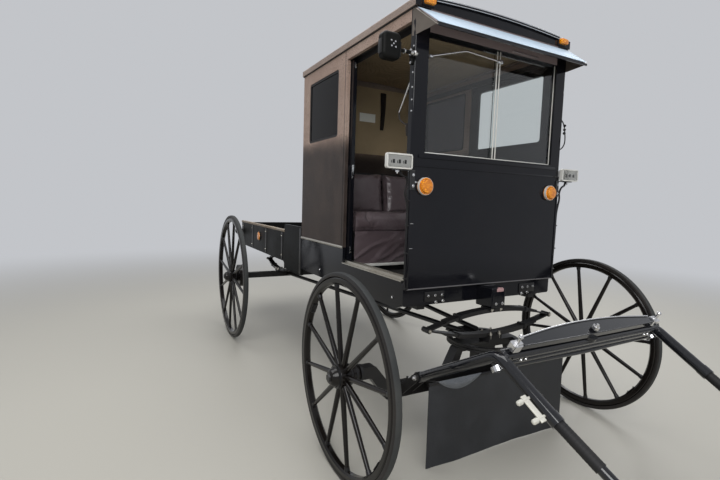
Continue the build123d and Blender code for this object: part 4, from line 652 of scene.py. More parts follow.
PANEL_TONE, PANEL_DUSTY, PANEL_TOP_Z = (0.034, 0.024, 0.020), (0.078, 0.060, 0.052), 1.590
EAVE_TONE, EAVE_DUSTY = (0.330, 0.232, 0.185), (0.420, 0.315, 0.262)
ROOF_TONE, ROOF_DUSTY = (0.250, 0.188, 0.155), (0.340, 0.268, 0.228)
side_vinyl = grained_finish(
    "side_vinyl", PANEL_TONE, PANEL_DUSTY, 0.46, 120.0, 0.0014, (PANEL_TOP_Z, EAVE_TONE, EAVE_DUSTY),
    Specular_IOR_Level=0.25,
)
roof_vinyl = grained_finish(
    "roof_vinyl", ROOF_TONE, ROOF_DUSTY, 0.48, 170.0, 0.0006, Specular_IOR_Level=0.4
)
EAVE_Z, WELT_Z, WELT_X, SIDE_X, JOINT_Y = 2.097, 2.0945, 0.5125, 0.510, 0.188
dress(side_vinyl, "side_panels", "rear_wall")
for name, side in SIDES:
    joint = [(side * (SIDE_X + 0.0002), JOINT_Y, high) for high in (0.952, 1.5, 2.090)]
    welt = [(side * WELT_X, along, WELT_Z) for along in (-0.508, 0.2, 0.861)]
    bent(f"panel_joint_{name}", joint, 0.0015, black_rubber)
    bent(f"eave_welt_{name}", welt, 0.0035, black_rubber)
bent("eave_welt_rear", [(across, 0.8575, WELT_Z) for across in (-0.512, 0, 0.512)], 0.0035, black_rubber)

# Roof: a shallow arched board covered in the tan-brown vinyl. Its front edge is a black fascia
# under a moulding with two bright beads, and the vinyl is welted along the back edge.
ROOF_X, ROOF_EDGE_Z, ROOF_CROWN_Z, ROOF_FRONT_Y, ROOF_REAR_Y = 0.520, 2.135, 2.158, -0.515, 0.863
DRIP_BEADS = {"upper": (0.003, 0.0026), "lower": (0.0145, 0.0020)}  # down from the roof's top, radius
DRIP_HALF, DRIP_OUT = 0.415, 0.0125
dress(roof_vinyl, "roof")
dress(black_gloss, "drip_moulding")


def roof_high(across):
    """The height of the roof's top over its front edge."""
    return ROOF_EDGE_Z + (ROOF_CROWN_Z - ROOF_EDGE_Z) * (1 - (across / ROOF_X) ** 2)


def roof_arch(half, along, drop):
    """Points across the roof, at one place along it and a little under its top."""
    return [(x / 10 * half, along, roof_high(x / 10 * half) - drop) for x in range(-10, 11, 2)]


def sheet_shape(columns, rows, thick, place, upright=True, outward=True):
    """A sheet: a grid whose dots, each -1 to 1 both ways, a function puts in place, made thick."""
    shape = bmesh.new()
    turned = Matrix.Rotation(pi / 2, 4, "X") if upright else Matrix()
    bmesh.ops.create_grid(shape, x_segments=columns, y_segments=rows, size=1, matrix=turned)
    for dot in shape.verts:
        dot.co = place(dot.co.x, dot.co.z if upright else dot.co.y)
    if outward:
        bmesh.ops.recalc_face_normals(shape, faces=shape.faces)
    bmesh.ops.solidify(shape, geom=shape.faces, thickness=thick)
    return shape


def fascia_place(across, high):
    """The roof's front edge: its eave line below, its arch above."""
    top = roof_high(across * ROOF_X) + 0.0010
    return (across * (ROOF_X + 0.0004), ROOF_FRONT_Y - 0.0005, top if high > 0 else EAVE_Z - 0.001)


piece("roof_fascia", sheet_shape(32, 1, 0.0020, fascia_place, outward=False), black_gloss)
for bead, (drop, radius) in DRIP_BEADS.items():
    bent(f"drip_bead_{bead}", roof_arch(DRIP_HALF, ROOF_FRONT_Y - DRIP_OUT, drop), radius, bright_metal)
bent("roof_rear_bead", roof_arch(0.519, ROOF_REAR_Y + 0.0005, 0.006), 0.0035, black_rubber)

# Visor: a folded sheet of steel that slopes out over the windshield, with a black lip. Its
# underside is painted grey-brown and the sheet on top pale blue-grey, both painted reflection. A
# cloth gusset closes each end, tacked to the pillar behind and stitched along the visor's edge.
VISOR_BLACK, VISOR_PAINTED_REFLECTION, VISOR_PAINTED_REFLECTION_DUSTY = (0.006, 0.006, 0.008), (0.42, 0.35, 0.36), (0.30, 0.25, 0.25)
visor_steel_and_painted_reflection, tree, shader = finish_of("visor_steel_and_painted_reflection", VISOR_BLACK, 0.14)
wear = group_of(tree, wear_group, Cloud_size=6.0)
# Above the lip the visor is painted grey-brown, a painted reflection on its underside; the lip stays black.
inside = height_mask(tree, 1.9885, 1.9900)
painted_reflection = blended(tree, wear["Dust"], VISOR_PAINTED_REFLECTION, VISOR_PAINTED_REFLECTION_DUSTY)
feed(
    tree,
    shader.inputs,
    Base_Color=blended(tree, inside, VISOR_BLACK, painted_reflection),
    Roughness=ranged(tree, inside, To_Min=0.12, To_Max=0.42),
    Normal=bumped(tree, wear["Peel"], 0.0001),
)
dress(visor_steel_and_painted_reflection, "visor")
# The visor's pale blue-grey top sheet is a painted reflection of the lamps on its top.
visor_painted_reflection = hard_finish(
    "visor_painted_reflection", (0.46, 0.57, 0.68), (0.34, 0.39, 0.44), 0.50, share=0.6, Specular_IOR_Level=0.3
)
VISOR_TOP = (
    # along the roof's front, then along the lip
    (-0.5085, -0.5170, 2.0850), (0.5085, -0.5170, 2.0850),
    (0.4910, -0.6475, 1.9858), (-0.4910, -0.6475, 1.9858),
)


def quad_shape(corners, cuts):
    """A flat sheet between four corners, cut into small faces."""
    shape = bmesh.new()
    shape.faces.new([shape.verts.new(corner) for corner in corners])
    bmesh.ops.subdivide_edges(shape, edges=shape.edges, cuts=cuts, use_grid_fill=True)
    return shape


shape = quad_shape(VISOR_TOP, 9)
bmesh.ops.recalc_face_normals(shape, faces=shape.faces)
bmesh.ops.solidify(shape, geom=shape.faces, thickness=-0.0016)
piece("visor_top_sheet", shape, visor_painted_reflection)
cloth_group, cloth_in, cloth_out, at = new_group("weave", {"Threads": 900.0}, ("Height", "Thread"))
warp, weft = [
    add(
        cloth_group,
        "TexWave",
        {"bands_direction": way},
        Vector=at,
        Scale=cloth_in["Threads"],
        Distortion=1.0,
    )
    for way in ("Z", "DIAGONAL")
]
both = [thread.outputs["Fac"] for thread in (warp, weft)]
feed(
    cloth_group,
    cloth_out,
    Height=math(cloth_group, "MAXIMUM", *both),
    Thread=math(cloth_group, "MULTIPLY", *both),
)


def woven_finish(name, colour, shade, patch, threads, depth):
    """Cloth: threads that cross, with painted shade between them, and cloudy stains."""
    material, tree, shader = finish_of(name, colour, 0.85)
    weave = group_of(tree, cloth_group, Threads=threads)["Height"]
    stain = math(tree, "MULTIPLY", group_of(tree, wear_group, Cloud_size=4.0)["Dust"], 0.6)
    base = blended(tree, stain, blended(tree, weave, shade, colour), patch)
    feed(tree, shader.inputs, Base_Color=base, Normal=bumped(tree, weave, depth, 0.7))
    return material


gusset_cloth = woven_finish(
    "gusset_cloth", (0.145, 0.122, 0.104), (0.050, 0.041, 0.034), (0.030, 0.024, 0.020), 70.0, 0.0014
)
white_thread = woven_finish(
    "white_thread", (0.62, 0.60, 0.55), (0.4, 0.38, 0.34), (0.45, 0.42, 0.38), 900.0, 0.0002
)
GUSSET_CORNERS = (
    # over the pillar, at the roof's corner, at the visor's tip, at the pillar below
    (0.5115, -0.4825, 2.0925), (0.5115, -0.5100, 2.0880),
    (0.4930, -0.6480, 1.9790), (0.5115, -0.4825, 1.9710),
)
GUSSET_AREA, STITCHES, STITCH_LIFT = 0.01125, 22, Vector((0.0022, 0, -0.006))
for name, side in SIDES:
    shape = quad_shape([mirrored(side, corner) for corner in GUSSET_CORNERS], 11)
    for dot in shape.verts:
        rippled = noise.noise(dot.co * 26) * 0.0030 + noise.noise(dot.co * 70) * 0.0012
        dot.co.x += rippled * (0 if dot.is_boundary else 1)
    bmesh.ops.recalc_face_normals(shape, faces=shape.faces)
    bmesh.ops.solidify(shape, geom=shape.faces, thickness=0.0018)
    gusset = piece(f"gusset_cloth_{name}", shape, gusset_cloth)
    if name == "right":
        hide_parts("visor_gussets")
    stitches = bmesh.new()
    corner, tip = Vector(GUSSET_CORNERS[1]), Vector(GUSSET_CORNERS[2])
    for index in range(STITCHES):
        start, end = [corner.lerp(tip, (index + share) / STITCHES) + STITCH_LIFT for share in (0.25, 0.75)]
        rod(stitches, mirrored(side, start), mirrored(side, end), 0.0009, sides=6)
    hem = piece(f"gusset_stitches_{name}", stitches, white_thread)

# Doors: framed wooden doors that slide in a sill track and a head track, gloss black, each with
# a plate pull on its front edge, screwed on, and a thin bead round its glass.
DOOR_FRONT = {"right": 0.132, "left": -0.468}
DOOR_X, BEAD_X = 0.4740, 0.4862
DOOR_PLATES = (
    # wide, high, at height, forward of the door's edge
    (0.0130, 0.080, 1.396, 0.0010),
    (0.0100, 0.030, 2.005, 0.0015),
    (0.0110, 0.040, 0.934, 0.0015),
)
dress(black_gloss, "door_right", "door_left")
dress(aluminium, "door_tracks", "belt_mouldings")
dress(black_satin, "head_tracks")
for name, side in SIDES:
    front = DOOR_FRONT[name]
    shape = bmesh.new()
    for wide, tall, high, ahead in DOOR_PLATES:
        block(shape, (side * DOOR_X, front - ahead, high), (wide, 0.0022, tall), 0.001)
    for high in (1.364, 1.428):
        screw(shape, (side * DOOR_X, front - 0.0020, high), BACK, (0.0014, 0.0009, 0.0030, 0.0036))
    piece(f"door_plates_{name}", shape, bright_metal, body=f"door_{name}", slot="chrome")
    shape = bmesh.new()
    for high in (1.595, 1.980):
        block(shape, (side * BEAD_X, front + 0.330, high), (0.0020, 0.540, 0.008), 0.0008)
    for end in (0.065, 0.595):
        block(shape, (side * BEAD_X, front + end, 1.7875), (0.0020, 0.008, 0.395), 0.0008)
    piece(f"door_beads_{name}", shape, black_satin, body=f"door_{name}")

# Sill boards: a varnished strip of wood lies between the pale sill tracks at each doorway, worn
# gold-brown by boots and screwed down. A rubber mat covers the floor between them.
SILL_Y, SILL_LONG = -0.155, 0.600
wood_group, wood_in, wood_out, at = new_group("wood", {"Rings": 14.0}, ("Grain", "Pores"))
drawn = add(wood_group, "Mapping", Vector=at, Scale=(1.0, 0.06, 1.0)).outputs[0]
across_x = {"bands_direction": "X"}
rings = add(
    wood_group, "TexWave", across_x, Vector=drawn, Scale=wood_in["Rings"], Distortion=7.0, Detail=3.0
)
fine = add(wood_group, "Mapping", Vector=at, Scale=(420.0, 9.0, 420.0)).outputs[0]
pores = add(wood_group, "TexNoise", Vector=fine, Scale=1.0, Detail=3.0)
feed(wood_group, wood_out, Grain=rings.outputs["Fac"], Pores=pores.outputs[0])


def wooden_finish(name, light, dark, grey, roughness, rings, worn):
    """Wood: long rings and pores, weathered grey in patches."""
    material, tree, shader = finish_of(name, light, roughness)
    grain = group_of(tree, wood_group, Rings=rings)
    dust = group_of(tree, wear_group, Cloud_size=9.0)["Dust"]
    base = blended(tree, grain["Grain"], light, dark)
    weathered = blended(tree, math(tree, "MULTIPLY", dust, worn), base, grey)
    deep = ranged(tree, grain["Pores"], From_Min=0.35, From_Max=0.6, To_Min=0.6, To_Max=1.0)
    feed(
        tree,
        shader.inputs,
        Base_Color=blended(tree, 1.0, weathered, deep, "MULTIPLY"),
        Normal=bumped(tree, grain["Pores"], 0.0005, 0.7),
    )
    return material


sill_wood = wooden_finish(
    "sill_wood", (0.30, 0.19, 0.075), (0.17, 0.10, 0.04), (0.20, 0.17, 0.13), 0.4, 22.0, 0.5
)
rail_wood = wooden_finish(
    "rail_wood", (0.36, 0.29, 0.21), (0.21, 0.155, 0.105), (0.27, 0.255, 0.235), 0.6, 18.0, 0.8
)
shape = bmesh.new()
for side in BOTH:
    block(shape, (side * 0.4970, SILL_Y, 0.8515), (0.0200, SILL_LONG, 0.0040), 0.001)
piece("sill_boards", shape, sill_wood)
shape = bmesh.new()
block(shape, (0, SILL_Y, 0.7925), (0.840, SILL_LONG, 0.004), 0.002)
mat_rubber = grained_finish("floor_mat", (0.02, 0.019, 0.018), (0.06, 0.053, 0.045), 0.6, 90.0, 0.0012)
piece("floor_mat", shape, mat_rubber)

# Cab lining: tan cloth glued to the roof's hollow and to the upper rear wall, with a dark strap
# and a bare white card hanging on it. Each is one sheet, a little slack between its tacks. A grab
# rod with a strap and a tassel hangs inside the near pillar.
LINING = {"half": 0.449, "low": 1.590, "high": 2.094, "face": 0.8325}
HEAD = {"half": 0.467, "front": -0.470, "rear": 0.812, "edge": 2.1085, "crown": 2.1315}
STRAP = {"across": 0.1315, "lean": 0.0035, "half": 0.0195, "flare": 0.0055, "face": 0.8270}
STRAP_MID_Z, STRAP_HALF_Z = 1.925, 0.142
CARD_Z, GRAB_X = 1.866, -0.446
GRAB_ROD = ((-0.4760, 1.9377), (-0.3875, 1.8041), (-0.2989, 1.6705))  # along, height
GRAB_STRAP = (
    (-0.3000, 1.6722), (-0.2990, 1.6450), (-0.3320, 1.6180), (-0.3800, 1.5980), (-0.4050, 1.6400),
    (-0.4300, 1.6950), (-0.4760, 1.7150),
)
lining_cloth = woven_finish(
    "lining_cloth", (0.45, 0.335, 0.205), (0.28, 0.205, 0.125), (0.25, 0.19, 0.12), 300.0, 0.0004
)
strap_web = woven_finish(
    "strap_web", (0.022, 0.016, 0.014), (0.010, 0.008, 0.007), (0.035, 0.028, 0.022), 500.0, 0.0005
)


def risen(low, high, share):
    """A place between two others, by a share from -1 to 1."""
    return low + (share + 1) / 2 * (high - low)


def lining_place(across, high):
    """The rear lining: stretched between its tacks, a little slack in the middle."""
    uneven = noise.noise(Vector((across * 3, 0, high * 9))) * 0.0015
    slack = (1 - across**2) * (1 - high**2) * 0.0020 + uneven
    back = LINING["face"] - 0.0015 - slack
    return (across * LINING["half"], back, risen(LINING["low"], LINING["high"], high))


def head_place(across, back):
    """The headliner: arched with the roof, sagging a little between three bows."""
    arch = HEAD["edge"] + (HEAD["crown"] - HEAD["edge"]) * (1 - across**2)
    uneven = noise.noise(Vector((across * 5, back * 4, 1))) * 0.0010
    sag = 0.0040 * abs(sin((back + 1) * pi * 1.5)) * (1 - across**4) + uneven
    return (across * HEAD["half"], risen(HEAD["front"], HEAD["rear"], back), arch - sag)


def strap_place(across, high):
    """The strap: hung from its top, leaning and wider there, and bowed off the lining."""
    bow = (1 - high**2) * 0.010 + (1 - across**2) * 0.004
    wide = STRAP["half"] + STRAP["flare"] * high
    aside = STRAP["across"] + STRAP["lean"] * high
    return (aside + across * wide, STRAP["face"] - bow, STRAP_MID_Z + high * STRAP_HALF_Z)


lining = piece("rear_lining_cloth", sheet_shape(40, 22, 0.0015, lining_place), lining_cloth)
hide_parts("rear_lining")
shape = sheet_shape(36, 48, 0.0015, head_place, upright=False, outward=False)
head_cloth = piece("headliner_cloth", shape, lining_cloth)
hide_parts("headliner")
piece("lining_strap", sheet_shape(6, 16, 0.0030, strap_place), strap_web)
shape = bmesh.new()
block(shape, (0, 0.8265, CARD_Z), (0.138, 0.0015, 0.064), 0.0006)
for across in (-0.062, 0.062):
    screw(shape, (across, 0.8258, CARD_Z), BACK, (0.0020, 0.0012, 0.0035, 0.0040), 10)
piece(
    "bare_card", shape, hard_finish("card_white", (0.94, 0.93, 0.88), (0.78, 0.75, 0.68), 0.55, share=0.4)
)
bent("grab_rod", [(GRAB_X, *place) for place in GRAB_ROD], 0.0034, bright_metal)
bent("grab_strap", [(GRAB_X, *place) for place in GRAB_STRAP], 0.0040, strap_web)
shape = bmesh.new()
rod(shape, (GRAB_X, -0.3730, 1.608), (GRAB_X, -0.3740, 1.590), 0.0060, 0.0078)
rod(shape, (GRAB_X, -0.3740, 1.590), (GRAB_X, -0.3770, 1.549), 0.0078, 0.0050)
piece("loop_tassel", shape, strap_web)

# Seats: a full-width cushion on a plywood box and two leaning backs, foam under plum leathercloth
# that has gone dark and shiny. Each pad is swollen by a short cloth simulation, then creased.
VOXEL, PRESSURE, FRAMES, FILL = 0.0065, 4.0, 20, 0.7
CUSHION_FRONT_Y, CUSHION_SEAM_Z, SEAT_MIDDLES, SEAT_Y = 0.148, 1.058, (-0.22, 0.22), 0.34
BACK_SEAM_Z, BACK_Y, BACK_Z = 1.392, (0.4950, 0.6450), (1.1250, 1.440)
plum_cloth = grained_finish(
    "plum_cloth", (0.120, 0.090, 0.098), (0.175, 0.142, 0.152), 0.30, 420.0, 0.0003,
    Coat_Weight=0.3, Coat_Roughness=0.28,
)
dress(black_satin, "seat_base")


def settled(made):
    """Gives an object the mesh that its modifiers make, in place of them."""
    finished = bpy.data.meshes.new_from_object(made.evaluated_get(bpy.context.evaluated_depsgraph_get()))
    made.modifiers.clear()
    made.data = finished


def padding(name, node, half, inset, drop, cap, room, crease):
    """A pad in a CAD solid's place: shrunk, remeshed, blown up, kept inside its room, then creased."""
    shape = bmesh.new()
    shape.from_mesh(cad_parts[node].data)
    bmesh.ops.remove_doubles(shape, verts=shape.verts, dist=0.0001)
    other_half = [dot for dot in shape.verts if dot.co.x * half < -0.001]
    bmesh.ops.delete(shape, geom=other_half, context="VERTS")
    low, high = [
        Vector([end(dot.co[axis] for dot in shape.verts) for axis in range(3)]) for end in (min, max)
    ]
    middle, span = (low + high) / 2, high - low
    shrink = Matrix.LocRotScale(None, None, Vector([1 - 2 * inset / side for side in span]))
    about = Matrix.Translation(middle) @ shrink @ Matrix.Translation(-middle)
    bmesh.ops.transform(shape, matrix=about, verts=shape.verts)
    for dot in shape.verts:
        dot.co.z -= drop * (dot.co.z < middle.z)
    mesh = bpy.data.meshes.new(name)
    shape.to_mesh(mesh)
    shape.free()
    made = bpy.data.objects.new(name, mesh)
    scene.collection.objects.link(made)
    remesh =made.modifiers.new("remesh", "REMESH")
    remesh.mode, remesh.voxel_size = "VOXEL", VOXEL
    settled(made)
    start = [dot.co.copy() for dot in made.data.vertices]
    cloth = made.modifiers.new("swell", "CLOTH")
    cloth.settings.use_pressure = True
    cloth.settings.uniform_pressure_force = PRESSURE
    cloth.settings.effector_weights.gravity = 0
    cloth.point_cache.frame_start, cloth.point_cache.frame_end = 1, FRAMES
    for step in range(1, FRAMES + 1):
        scene.frame_set(step)
    settled(made)
    for dot, first in zip(made.data.vertices, start):
        moved = dot.co - first
        dot.co = first + moved * min(1, cap / max(moved.length, 1e-6))
        dot.co += dot.normal * crease(dot.co)
        for axis, (least, most) in enumerate(room):
            dot.co[axis] = min(max(dot.co[axis], least), most)
    smooth = made.modifiers.new("smooth", "SUBSURF")
    smooth.levels = smooth.render_levels = 1
    made.data.materials.clear()
    made.data.materials.append(plum_cloth)
    made.data.shade_smooth()
    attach(made, "body")
    return made


def cushion_crease(spot):
    """Pulls that fan over the cushion's rolled front, and soft dips where people sit."""
    front = max(0.0, 1 - (spot.y - CUSHION_FRONT_Y) / 0.10)
    pulled = noise.noise(Vector((spot.x * 26 + spot.z * 30, spot.y * 8, spot.z * 9)))
    sat = sum(
        max(0.0, 1 - ((spot.x - place) ** 2 + (spot.y - SEAT_Y) ** 2) / 0.020) for place in SEAT_MIDDLES
    )
    seam = max(0.0, 1 - abs(spot.z - CUSHION_SEAM_Z) / 0.006) * front
    return -0.0045 * front * max(0.0, pulled) - 0.010 * min(sat, 1.0) - 0.004 * seam


def back_crease(spot):
    """A sewn line across the top of each back, and loose pulls from its lower corners."""
    seam = max(0.0, 1 - abs(spot.z - BACK_SEAM_Z) / 0.005)
    pulled = noise.noise(Vector((spot.x * 9 + spot.z * 5, spot.y * 6, spot.z * 16)))
    return -0.0035 * seam - 0.0040 * max(0.0, pulled)


cushion_room = ((-0.445, 0.445), (0.1455, 0.5300), (1.0240, 1.158))
cushion = padding("cushion_pad", "seat_cushion", 0, 0.010, 0.012, 0.024, cushion_room, cushion_crease)
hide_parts("seat_cushion")
for name, side in SIDES:
    room = (sorted((side * 0.0015, side * 0.445)), BACK_Y, BACK_Z)
    back = padding(f"back_pad_{name}", "seat_backs", side, 0.004, 0.024, 0.013, room, back_crease)
    if name == "right":
        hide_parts("seat_backs")
scene.frame_set(1)

# Seat skirt: a drape of the same leathercloth, tacked along the front of the seat box under the
# cushion and hanging loose in shallow pulls to a strip at its foot, painted pale as a highlight.
SKIRT = {"half": 0.436, "low": 0.828, "high": 1.042, "face": 0.1585}


def skirt_place(share, high):
    """The skirt: flat where it is tacked, and in broad and narrow pulls towards its foot."""
    across, loose = share * SKIRT["half"], (1 - high) / 2
    broad = abs(noise.noise(Vector((across * 7 + loose * 1.9, 0.3, loose * 1.7))))
    narrow = abs(noise.noise(Vector((across * 19 - loose * 5, 0.7, loose * 4))))
    pulled = (0.5 - (broad * 1.6) ** 0.7) * 0.022 + (0.3 - narrow) * 0.007
    out = min(max(pulled, -0.002), 0.0125) * (0.30 + 0.7 * loose)
    return (across, SKIRT["face"] - 0.0025 - out, risen(SKIRT["low"], SKIRT["high"], high))


skirt = piece("skirt_drape", sheet_shape(90, 26, 0.0014, skirt_place), plum_cloth)
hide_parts("seat_skirt")
# The foot strip's pale colour is a painted highlight.
shape = bmesh.new()
block(shape, (0, 0.1500, 0.8340), (0.876, 0.010, 0.017), 0.002)
piece("skirt_foot_strip", shape, pale_plastic)

# Turn lamps, roof markers and side reflectors: moulded amber lenses with pressed prisms on their
# faces, the round ones in pale bezels and the markers on black bases. Red lamps at the tail.
TURN_LAMP, TURN_CLIP_Z = (0.430, -0.524, 1.303), 1.3200
MARKER, MARKER_BASE_Y = (0.452, -0.527, 2.121), -0.5175
REFLECTOR = (0.510, 1.990, 0.858)
TAIL_LAMP = (0.552, 2.652, 0.862)
TURN_OUTLINE = ((0, 0), (0, 0.0330), (0.0120, 0.0330), (0.0165, 0.0300), (0.0185, 0.0200), (0.0190, 0))
TURN_RING = ((0.0045, 0.0385), (0.0045, 0.0405), (-0.0085, 0.0412), (-0.0085, 0.0385))
REFLECTOR_OUTLINE = ((0, 0), (0, 0.0410), (0.0080, 0.0410), (0.0135, 0.0370), (0.0165, 0.0230), (0.0175, 0))
REFLECTOR_RING = ((0, 0.0405), (0, 0.0450), (0.0045, 0.0450), (0.0070, 0.0420), (0.0070, 0.0405))
TAIL_CUP = (
    (0, 0), (0, 0.0340), (0.0040, 0.0380), (0.0180, 0.0380), (0.0180, 0.0350), (0.0150, 0.0340), (0.0150, 0),
)
TAIL_LENS = (
    (0.0145, 0), (0.0145, 0.0335), (0.0190, 0.0335), (0.0230, 0.0290), (0.0255, 0.0170), (0.0260, 0)
)


def lens_finish(name, colour, deep, prism):
    """A moulded plastic lens: clear colour, with painted shade in the valleys of a pressed pattern."""
    material, tree, shader = finish_of(name, colour, 0.16, Coat_Weight=0.5, Coat_Roughness=0.05)
    cells = add(tree, "TexVoronoi", to_edge, Vector=object_place(tree), Scale=prism)
    valley = ranged(tree, cells.outputs["Distance"], From_Min=0.0, From_Max=0.30)
    # Painted shade: the deeper colour fills the valleys of the pressed pattern.
    base = blended(tree, valley, deep, colour)
    feed(tree, shader.inputs, Base_Color=base, Normal=bumped(tree, valley, 0.0012, 0.8))
    return material


amber_plastic = lens_finish("amber_plastic", (0.95, 0.37, 0.008), (0.42, 0.095, 0.001), 105.0)
red_plastic = lens_finish("red_plastic", (0.28, 0.008, 0.006), (0.12, 0.003, 0.003), 150.0)
dress(amber_plastic, "lamp_bezels")
shape, ribs, bases = bmesh.new(), bmesh.new(), bmesh.new()
for side in BOTH:
    place = mirrored(side, TURN_LAMP)
    spun(shape, TURN_OUTLINE, place, BACK, 48, closed=False)
    spun(ribs, TURN_RING, place, BACK, 48)
    x, y, z = mirrored(side, MARKER)
    block(shape, (x, y, z), (0.056, 0.024, 0.028), 0.006)
    block(bases, (x, MARKER_BASE_Y, z - 0.001), (0.064, 0.006, 0.036), 0.002)
    place = mirrored(side, REFLECTOR)
    spun(shape, REFLECTOR_OUTLINE, place, (side, 0, 0), 48, closed=False)
    spun(bases, REFLECTOR_RING, place, (side, 0, 0), 48)
lenses = piece("amber_moulded_lenses", shape, amber_plastic)
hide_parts("amber_lenses")
piece("turn_lamp_rings", ribs, pale_plastic)
piece("lens_bases", bases, black_satin)
shape = bmesh.new()
for side in BOTH:
    block(shape, (side * 0.4720, -0.5125, TURN_CLIP_Z), (0.030, 0.003, 0.0045), 0.001)
    screw(shape, (side * 0.482, -0.5135, TURN_CLIP_Z), BACK, (0.0030, 0.0020, 0.0040, 0.0050))
piece("turn_lamp_clips", shape, bright_metal)
cups, shape = bmesh.new(), bmesh.new()
for side in BOTH:
    x, y, z = mirrored(side, TAIL_LAMP)
    spun(cups, TAIL_CUP, (x, y, z), (0, 1, 0), 48, closed=False)
    block(cups, (side * 0.5180, y + 0.006, z), (0.022, 0.010, 0.040), 0.002)
    spun(shape, TAIL_LENS, (x, y, z), (0, 1, 0), 48, closed=False)
lamps = piece("tail_lamp_cups", cups, black_satin)
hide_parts("tail_lamps")
piece("tail_lamp_lenses", shape, red_plastic)

# Headlamps: pale moulded boxes on angle brackets beside the pillars, each with a clear front over
# a bright tray that holds three dark emitters. Their taped wires run down behind the pillar edge.
LAMP_FACE, LAMP_FOOT_Z = (0.582, -0.532, 1.408), 1.3735
EMITTERS, EMITTER_GAP, FRONT_SCREW = 3, 0.031, (0.0012, 0.0008, 0.0022, 0.0026)
WIRE_RADIUS, WIRE_CLIP_HEIGHTS = 0.0024, (1.235, 1.120, 0.990, 0.870)
WIRE_STRANDS = ((0.0, 0.0), (0.005, 0.006), (-0.004, 0.010))  # out, and down at every second point
LOOM_SPREAD = 6
LOOM = (
    # out from the pillar, forward of it, height
    (0.062, 0.004, 1.374), (0.052, 0.012, 1.352), (0.020, 0.014, 1.340), (0.012, 0.006, 1.310),
    (0.024, 0.004, 1.275), (0.010, 0.006, 1.235), (0.006, 0.004, 1.180), (0.007, 0.004, 1.060),
    (0.006, 0.000, 0.900), (0.006, 0.004, 0.835),
)
lamp_case, tree, shader = finish_of("lamp_case", PLASTIC_TONE, 0.30)
wear = group_of(tree, wear_group, Cloud_size=8.0)
shell = blended(tree, math(tree, "MULTIPLY", wear["Dust"], 0.5), PLASTIC_TONE, PLASTIC_DUSTY)
bracket = (0.012, 0.012, 0.013)
feed(
    tree,
    shader.inputs,
    Base_Color=blended(tree, height_mask(tree, LAMP_FOOT_Z, LAMP_FOOT_Z + 0.001), bracket, shell),
    Normal=bumped(tree, wear["Peel"], 0.00006),
)
dress(lamp_case, "headlamps")
trays, fronts, marks, screws = [bmesh.new() for _ in range(4)]
for side in BOTH:
    x, y, z = mirrored(side, LAMP_FACE)
    block(trays, (x, y + 0.0042, z), (0.119, 0.0016, 0.050), 0.0006)
    block(fronts, (x, y + 0.0012, z), (0.122, 0.0020, 0.053), 0.0008)
    for index in range(EMITTERS):
        place = x + (index - 1) * EMITTER_GAP
        block(marks, (place, y + 0.0030, z - 0.002), (0.0110, 0.0012, 0.0170), 0.0005)
        block(marks, (place - 0.0115, y + 0.0030, z - 0.004), (0.0030, 0.0012, 0.0120), 0.0004)
    for across in (-0.062, 0.062):
        for high in (-0.028, 0.028):
            screw(screws, (x + across, y, z + high), BACK, FRONT_SCREW, 10)
    bolt(screws, (x, -0.512, 1.3690), DOWN, 0.009, 0.008)
    for high in (1.352, 1.302):
        bolt(screws, (side * 0.498, -0.5150, high), BACK, 0.0075, 0.005)
piece(
    "headlamp_trays",
    trays,
    hard_finish("lamp_tray", (0.70, 0.70, 0.68), (0.5, 0.48, 0.44), 0.25, share=0.3),
)
lamp_front, tree, shader = finish_of(
    "lamp_front", (0.96, 0.96, 0.95), 0.04, Transmission_Weight=1.0, IOR=1.3
)
flute = add(tree, "TexWave", across_x, Vector=object_place(tree), Scale=60.0).outputs["Fac"]
feed(tree, shader.inputs, Normal=bumped(tree, flute, 0.0004, 0.5))
piece("headlamp_fronts", fronts, lamp_front)
piece("headlamp_emitters", marks, black_satin)
piece("headlamp_screws", screws, bright_metal)
for name, side in SIDES:
    for strand, (shift, drop) in enumerate(WIRE_STRANDS):
        route = []
        for index, (out, ahead, high) in enumerate(LOOM):
            apart = shift * (1 if index < LOOM_SPREAD else 0.3)
            route.append(
                (side * (SIDE_X + out + apart), -0.500 - ahead - strand * 0.003, high - drop * (index % 2))
            )
        bent(f"lamp_wire_{name}_{strand}", route, WIRE_RADIUS, black_rubber)
    shape = bmesh.new()
    for high in WIRE_CLIP_HEIGHTS:
        block(shape, (side * (SIDE_X + 0.0055), -0.5060, high), (0.014, 0.016, 0.006), 0.0015)
    piece(f"wire_clips_{name}", shape, black_satin)

# Mirror: a black moulded shell on a bent rod from a plate on the near pillar. The rod has bright
# collars where it clamps, and five bright screws show on the shell's back.
SHELL_X, SHELL_Z, SHELL_BACK_Y, ARM_Y = -0.667, 1.880, -0.5720, -0.532
SHELL_SCREWS = ((-0.008, 0.016), (0.012, 0.014), (-0.006, -0.006), (0.014, -0.008), (0.003, 0.004))
ARM_COLLARS = ((-0.628, -0.612, 0.0110), (-0.585, -0.579, 0.0100), (-0.552, -0.538, 0.0115))
ARM_BALL = ((-0.011, 0), (-0.009, 0.008), (0, 0.0125), (0.009, 0.008), (0.011, 0))
dress(dull_enamel, "mirror_housing")
dress(bright_metal, "mirror_glass")
shape = bmesh.new()
for across, high in SHELL_SCREWS:
    head = (0.0040, 0.0028, 0.0036, 0.0046)
    screw(shape, (SHELL_X + across, SHELL_BACK_Y, SHELL_Z + high), BACK, head)
for start, end, radius in ARM_COLLARS:
    rod(shape, (start, ARM_Y, SHELL_Z), (end, ARM_Y, SHELL_Z), radius)
spun(shape, ARM_BALL, (-0.523, ARM_Y, SHELL_Z), UP, steps=20, closed=False)
for high in (1.852, 1.908):
    bolt(shape, (-0.518, -0.492, high), (-1, 0, 0), 0.0060, 0.004)
piece("mirror_bright_bits", shape, bright_metal, slot="chrome")
shape = bmesh.new()
for across in (-0.0475, 0.0475):
    block(shape, (SHELL_X + across, -0.5480, 1.872), (0.006, 0.026, 0.060), 0.002)
piece("mirror_side_tabs", shape, black_satin)

